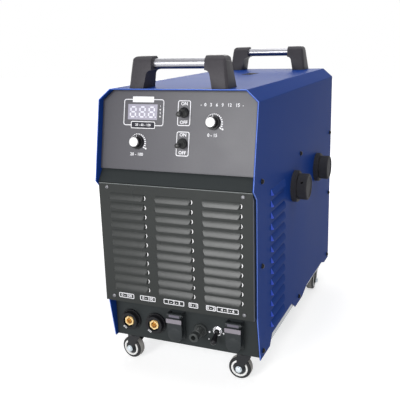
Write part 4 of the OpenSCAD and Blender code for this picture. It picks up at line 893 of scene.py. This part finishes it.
class PLASMA_OT_louver_ends(bpy.types.Operator):
    """Paints highlights: crescent glints on the front louvers' right ends, lighter blue on the side louvers'
    ends
    """

    bl_idname = "plasma.louver_ends"
    bl_label = "Louver ends"

    # all in millimetres: the front louvers' columns and rows, and the first row above the plate's foot
    COLUMN_GAP = 99.5
    ROW_LOW = 28.0
    ROW_GAP = 19.2
    ROWS = 11
    # a rim from its louver's middle and lip, its circle, width and height, and its sweep in degrees
    # rims sit only at the louvers' right ends, as painted glints
    ASIDE = 35.6
    ABOVE = 5.6
    RADIUS = 5.2
    RIM_WIDTH = 1.7
    RIM_HEIGHT = 0.5
    SWEEP = 110
    SLIMMEST = 0.2
    # the side louvers' middle behind the nose, rows, and round front ends from the middle
    SIDE_MIDDLE = 155.0
    SIDE_LOW = 40.0
    SIDE_GAP = 23.3
    SIDE_ROWS = 13
    SIDE_ASIDE = 42.0
    # a side louver's depth, its round end and its skin of painted highlight, and where that starts on either
    # side
    DEEP = 5.0
    END_RADIUS = 6.0
    SKIN = 0.4
    END_SWEEP = 62.2
    END_STARTS = ((-1, 9.6), (1, 108.2))
    # the circle of its back, from the lip and from the sheet
    BACK_RADIUS = 44.3
    BACK_BELOW = 9.21
    BACK_INSIDE = 38.33

    def rim(self, shape, face):
        """Crescent round the right end of a louver, lying on the plate: a painted glint in a bright metal
        colour.
        """
        section = Matrix.Rotation(math.pi / 2, 4, "X")
        section @= Matrix.Diagonal((self.RIM_WIDTH * MM, self.RIM_HEIGHT * MM, 1, 1))
        start = Matrix.Rotation(-math.radians(self.SWEEP / 2), 4, "Z")
        part = swept(section, self.RADIUS, start, (0, 0, 1), self.SWEEP, 10)
        for vert in part.verts:
            flat = vert.co.xy
            way = math.degrees(math.atan2(flat.y, flat.x)) / self.SWEEP
            way = min(0.5, max(-0.5, way))
            slim = self.SLIMMEST + (1 - self.SLIMMEST) * math.cos(math.pi * way)
            reach = self.RADIUS * MM + (flat.length - self.RADIUS * MM) * slim
            vert.co.xy = flat.normalized() * reach
        shape.add(part, face)

    def painted_highlight_end(self, shape, face, start):
        """Painted highlight: a skin over a louver's round end, under the back that falls away upwards."""
        section = Matrix.Diagonal((self.SKIN * MM, MM, 1, 1))
        start = Matrix.Rotation(-math.radians(start), 4, "Y")
        part = swept(section, self.END_RADIUS, start, (0, -1, 0), self.END_SWEEP, 12)
        for vert in part.verts:
            out = max(0, vert.co.z / MM + self.DEEP - self.END_RADIUS)
            high = max(0, self.BACK_RADIUS ** 2 - (out + self.BACK_INSIDE) ** 2)
            back = math.sqrt(high) - self.BACK_BELOW
            vert.co.y = (0.1 if vert.co.y < 0 else max(0.4, back - 0.2)) * MM
        shape.add(part, face)

    def execute(self, context):
        shape = Shape()
        low = (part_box("louver_plate")[0].z - COVER_LOW.z) / MM + self.ROW_LOW
        for row in range(self.ROWS):
            for column in (-1, 0, 1):
                place = case_point(column * self.COLUMN_GAP, LOUVER_PLATE_Y, low + row * self.ROW_GAP)
                self.rim(shape, on(plane(place, RIGHT, UP), self.ASIDE, self.ABOVE, 0.2))
        # the crescents are painted highlight: bright glints at the front louvers' right ends
        shape.piece("louver_rims", "bright_aluminium", "case", "steel_screw")

        shape = Shape()
        sheet = HALF_CASE / MM - self.DEEP
        for row in range(self.SIDE_ROWS):
            for side, start in self.END_STARTS:
                place = case_point(side * sheet, self.SIDE_MIDDLE, self.SIDE_LOW + row * self.SIDE_GAP)
                face = plane(place, Vector((0, side, 0)), UP)
                end = on(face, -side * self.SIDE_ASIDE, 0, self.DEEP - self.END_RADIUS)
                self.painted_highlight_end(shape, end, start)
        # lighter blue skins on the side louvers' front ends: painted highlight where the front light falls
        shape.piece("side_louver_ends", "drawn_coat", "case", "panel_paint")
        return {"FINISHED"}


class PLASMA_OT_case(bpy.types.Operator):
    """Adds the top patch, the painted highlight beads along two front edges and the caps of the cover's
    screws
    """

    bl_idname = "plasma.case"
    bl_label = "Case details"

    # front edge of the cover from the roof down: distance from the middle, depth behind the nose, height
    FRONT_EDGE = [
        (141, 37.5, 529.4), (164.4, 33.2, 509), (164.4, 0.7, NOSE_HEIGHT), (164.4, 19.6, NOSE_HEIGHT - 19),
        (164.4, 19.6, 94), (164.4, 36.4, 1),
    ]
    BEAD = 0.9 * MM
    CAP = [(0, 4.6), (2.2, 4.4), (3.9, 3.5), (4.8, 2.0), (5.2, 0.4), (5.2, 0), (0, 0)]
    # the sheets' outer faces lie this far inside the case's box; a head stands higher and is less wide
    SHEET_INSIDE = 5 * MM
    PROUD = 0.3 * MM
    HEAD_WIDTH = 12 * MM

    def top_patch(self):
        """Flat dark ground on the top between the handles."""
        shape = Shape()
        top = plane(case_point(6, 458, COVER_HEIGHT), RIGHT, Vector((0, 1, 0)))
        shape.plate(top, 26 * MM, 62 * MM, 0.4 * MM, 2 * MM)
        shape.piece("top_patch", "patch_rubber", "case", "black_screw")

    def plate_edge(self):
        """Bead of light grey along the louver plate's upper fold: a painted highlight on the lit fold."""
        low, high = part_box("louver_plate")
        edge = case_point(0, LOUVER_PLATE_Y + 0.3, 0).y
        start = Matrix.Translation((low.x + MM, edge, high.z - 0.5 * MM))
        shape = Shape()
        shape.disc(start @ Matrix.Rotation(math.pi / 2, 4, "Y"), self.BEAD, high.x - low.x - 2 * MM, 16)
        shape.piece("plate_edge", "worn_edge", "case", "black_screw")

    def cover_edge(self):
        """Bead of lighter blue along the cover's front edge: a painted highlight on the lit edge."""
        shape = Shape()
        points = [case_point(-x, y, z) for x, y, z in reversed(self.FRONT_EDGE)]
        points += [case_point(*place) for place in self.FRONT_EDGE]
        for start, end in zip(points, points[1:]):
            turn = (end - start).to_track_quat("Z", "Y").to_matrix().to_4x4()
            shape.disc(Matrix.Translation(start) @ turn, self.BEAD, (end - start).length, 12)
        shape.piece("cover_edge", "edge_coat", "case", "panel_paint")

    def screw_caps(self):
        """Black caps over the heads of the cover's screws."""
        sheet = HALF_CASE - self.SHEET_INSIDE
        screws = nodes["cover_screws"]
        heads = []
        for vert in screws.data.vertices:
            place = screws.matrix_world @ vert.co
            if abs(place.x - CASE_MIDDLE) < sheet + self.PROUD:
                continue
            for head in heads:
                if (head[0] - place).length < self.HEAD_WIDTH:
                    head.append(place)
                    break
            else:
                heads.append([place])
        shape = Shape()
        for head in heads:
            centre = sum(head, Vector()) / len(head)
            side = 1 if centre.x > CASE_MIDDLE else -1
            place = Vector((CASE_MIDDLE + side * sheet, centre.y, centre.z))
            shape.turned(plane(place, Vector((0, side, 0)), UP), self.CAP, 32)
        shape.piece("screw_caps", "black_screw_head", "case", "black_screw")

    def execute(self, context):
        self.top_patch()
        self.plate_edge()
        self.cover_edge()
        self.screw_caps()
        return {"FINISHED"}


class PLASMA_OT_stage(bpy.types.Operator):
    """Makes the floor, the lamps, the surroundings and the camera"""

    bl_idname = "plasma.stage"
    bl_label = "Stage"

    FLOOR_SIZE = 8
    FLOOR_COLOUR = (0.6, 0.6, 0.6, 1)
    # the floor's glow grows from the object outwards
    GLOW = (("From Min", 0.4), ("From Max", 1.6), ("To Min", 0.62), ("To Max", 1.0))
    # light of the surroundings on the object; the camera and reflections see them white
    SURROUNDINGS = 0.26
    # lamps: place and aim on the case in millimetres, size in metres and power in watts
    LAMPS = (
        ("front_softbox", (-460, -1790, 820), (0, 300, 280), 0.8, 26),
        ("near_softbox", (420, -760, 460), (60, 40, 260), 0.4, 3.2),
        ("top_softbox", (250, 600, 2100), (0, 300, 280), 1.6, 20),
        ("rear_softbox", (-740, 2230, 1280), (0, 300, 530), 1.2, 12),
        ("side_softbox", (1300, 420, 40), (165, 330, 200), 0.6, 0.25),
    )
    # the camera's place on the case, its turn in degrees, and its lens and sensor in millimetres
    CAMERA_PLACE = (507.7, -1029.9, 627.3)
    HEADING, DOWN, ROLL = 23.478, 14.819, 1.703
    LENS, SENSOR = 56.3, 36

    def floor(self):
        part = bmesh.new()
        bmesh.ops.create_grid(part, x_segments=1, y_segments=1, size=self.FLOOR_SIZE)
        mesh = bpy.data.meshes.new("floor")
        part.to_mesh(mesh)
        part.free()
        floor = placed("floor", mesh)
        material = bpy.data.materials.new("floor_white")
        material.use_nodes = True
        tree = material.node_tree
        shader = tree.nodes["Principled BSDF"]
        shader.inputs["Base Color"].default_value = self.FLOOR_COLOUR
        shader.inputs["Roughness"].default_value = 0.9
        shader.inputs["Specular IOR Level"].default_value = 0.1
        shader.inputs["Emission Color"].default_value = (1, 1, 1, 1)
        rays = tree.nodes.new("ShaderNodeLightPath")
        place = tree.nodes.new("ShaderNodeTexCoord")
        away = tree.nodes.new("ShaderNodeVectorMath")
        away.operation = "LENGTH"
        tree.links.new(place.outputs["Object"], away.inputs[0])
        fade = tree.nodes.new("ShaderNodeMapRange")
        fade.interpolation_type = "SMOOTHSTEP"
        for label, value in self.GLOW:
            fade.inputs[label].default_value = value
        tree.links.new(away.outputs["Value"], fade.inputs["Value"])
        glow = maths(tree, "MULTIPLY", seen_rays(tree, rays), fade.outputs["Result"])
        tree.links.new(glow, shader.inputs["Emission Strength"])
        give(floor, material)

    def world(self):
        world = bpy.data.worlds.new("studio")
        bpy.context.scene.world = world
        world.use_nodes = True
        tree = world.node_tree
        back = tree.nodes["Background"]
        back.inputs["Color"].default_value = (1, 1, 1, 1)
        rays = tree.nodes.new("ShaderNodeLightPath")
        level = maths(tree, "MULTIPLY", seen_rays(tree, rays), 1.0 - self.SURROUNDINGS)
        tree.links.new(maths(tree, "ADD", level, self.SURROUNDINGS), back.inputs["Strength"])

    def lamp(self, name, place, aim, size, watts):
        data = bpy.data.lights.new(name, "AREA")
        data.size = size
        data.energy = watts
        lamp = placed(name, data)
        lamp.location = place
        lamp.rotation_mode = "QUATERNION"
        lamp.rotation_quaternion = (aim - place).to_track_quat("-Z", "Y")

    def camera(self):
        data = bpy.data.cameras.new("camera")
        data.sensor_width = self.SENSOR
        data.lens = self.LENS
        data.clip_start = 0.05
        camera = placed("camera", data)
        turn = (
            Matrix.Rotation(math.radians(self.HEADING), 4, "Z")
            @ Matrix.Rotation(math.radians(90 - self.DOWN), 4, "X")
            @ Matrix.Rotation(math.radians(-self.ROLL), 4, "Z")
        )
        camera.matrix_world = Matrix.Translation(case_point(*self.CAMERA_PLACE)) @ turn
        bpy.context.scene.camera = camera

    def execute(self, context):
        context.scene.view_settings.view_transform = "Standard"
        self.floor()
        self.world()
        for name, place, aim, size, watts in self.LAMPS:
            self.lamp(name, case_point(*place), case_point(*aim), size, watts)
        self.camera()
        return {"FINISHED"}


def seen_rays(tree, rays):
    """1 for rays that come from the camera, a reflection or glass, and else 0."""
    total = maths(tree, "ADD", rays.outputs["Is Camera Ray"], rays.outputs["Is Glossy Ray"])
    total = maths(tree, "ADD", total, rays.outputs["Is Transmission Ray"])
    return maths(tree, "MINIMUM", total, 1.0)


class PLASMA_PT_panel(bpy.types.Panel):
    """Lists the steps, the colours and the sizes"""

    bl_idname = "PLASMA_PT_panel"
    bl_label = "Plasma Cutter"
    bl_space_type = "VIEW_3D"
    bl_region_type = "UI"
    bl_category = "Plasma Cutter"

    def draw(self, context):
        for step in STEPS:
            self.layout.operator(step.bl_idname)
        for group in (context.scene.plasma_colours, context.scene.plasma_sizes):
            box = self.layout.box()
            for name in group.__annotations__:
                box.prop(group, name)


STEPS = (
    PLASMA_OT_finishes,
    PLASMA_OT_handles,
    PLASMA_OT_printing,
    PLASMA_OT_display,
    PLASMA_OT_knobs,
    PLASMA_OT_boots,
    PLASMA_OT_sockets,
    PLASMA_OT_casters,
    PLASMA_OT_louver_ends,
    PLASMA_OT_case,
    PLASMA_OT_stage,
)
CLASSES = (PlasmaColours, PlasmaSizes, *STEPS, PLASMA_PT_panel)


def register():
    for cls in CLASSES:
        bpy.utils.register_class(cls)
    bpy.types.Scene.plasma_colours = PointerProperty(type=PlasmaColours)
    bpy.types.Scene.plasma_sizes = PointerProperty(type=PlasmaSizes)


def unregister():
    del bpy.types.Scene.plasma_sizes
    del bpy.types.Scene.plasma_colours
    for cls in reversed(CLASSES):
        bpy.utils.unregister_class(cls)


def main():
    register()
    for step in STEPS:
        family, name = step.bl_idname.split(".")
        getattr(getattr(bpy.ops, family), name)()


if __name__ == "__main__":
    main()
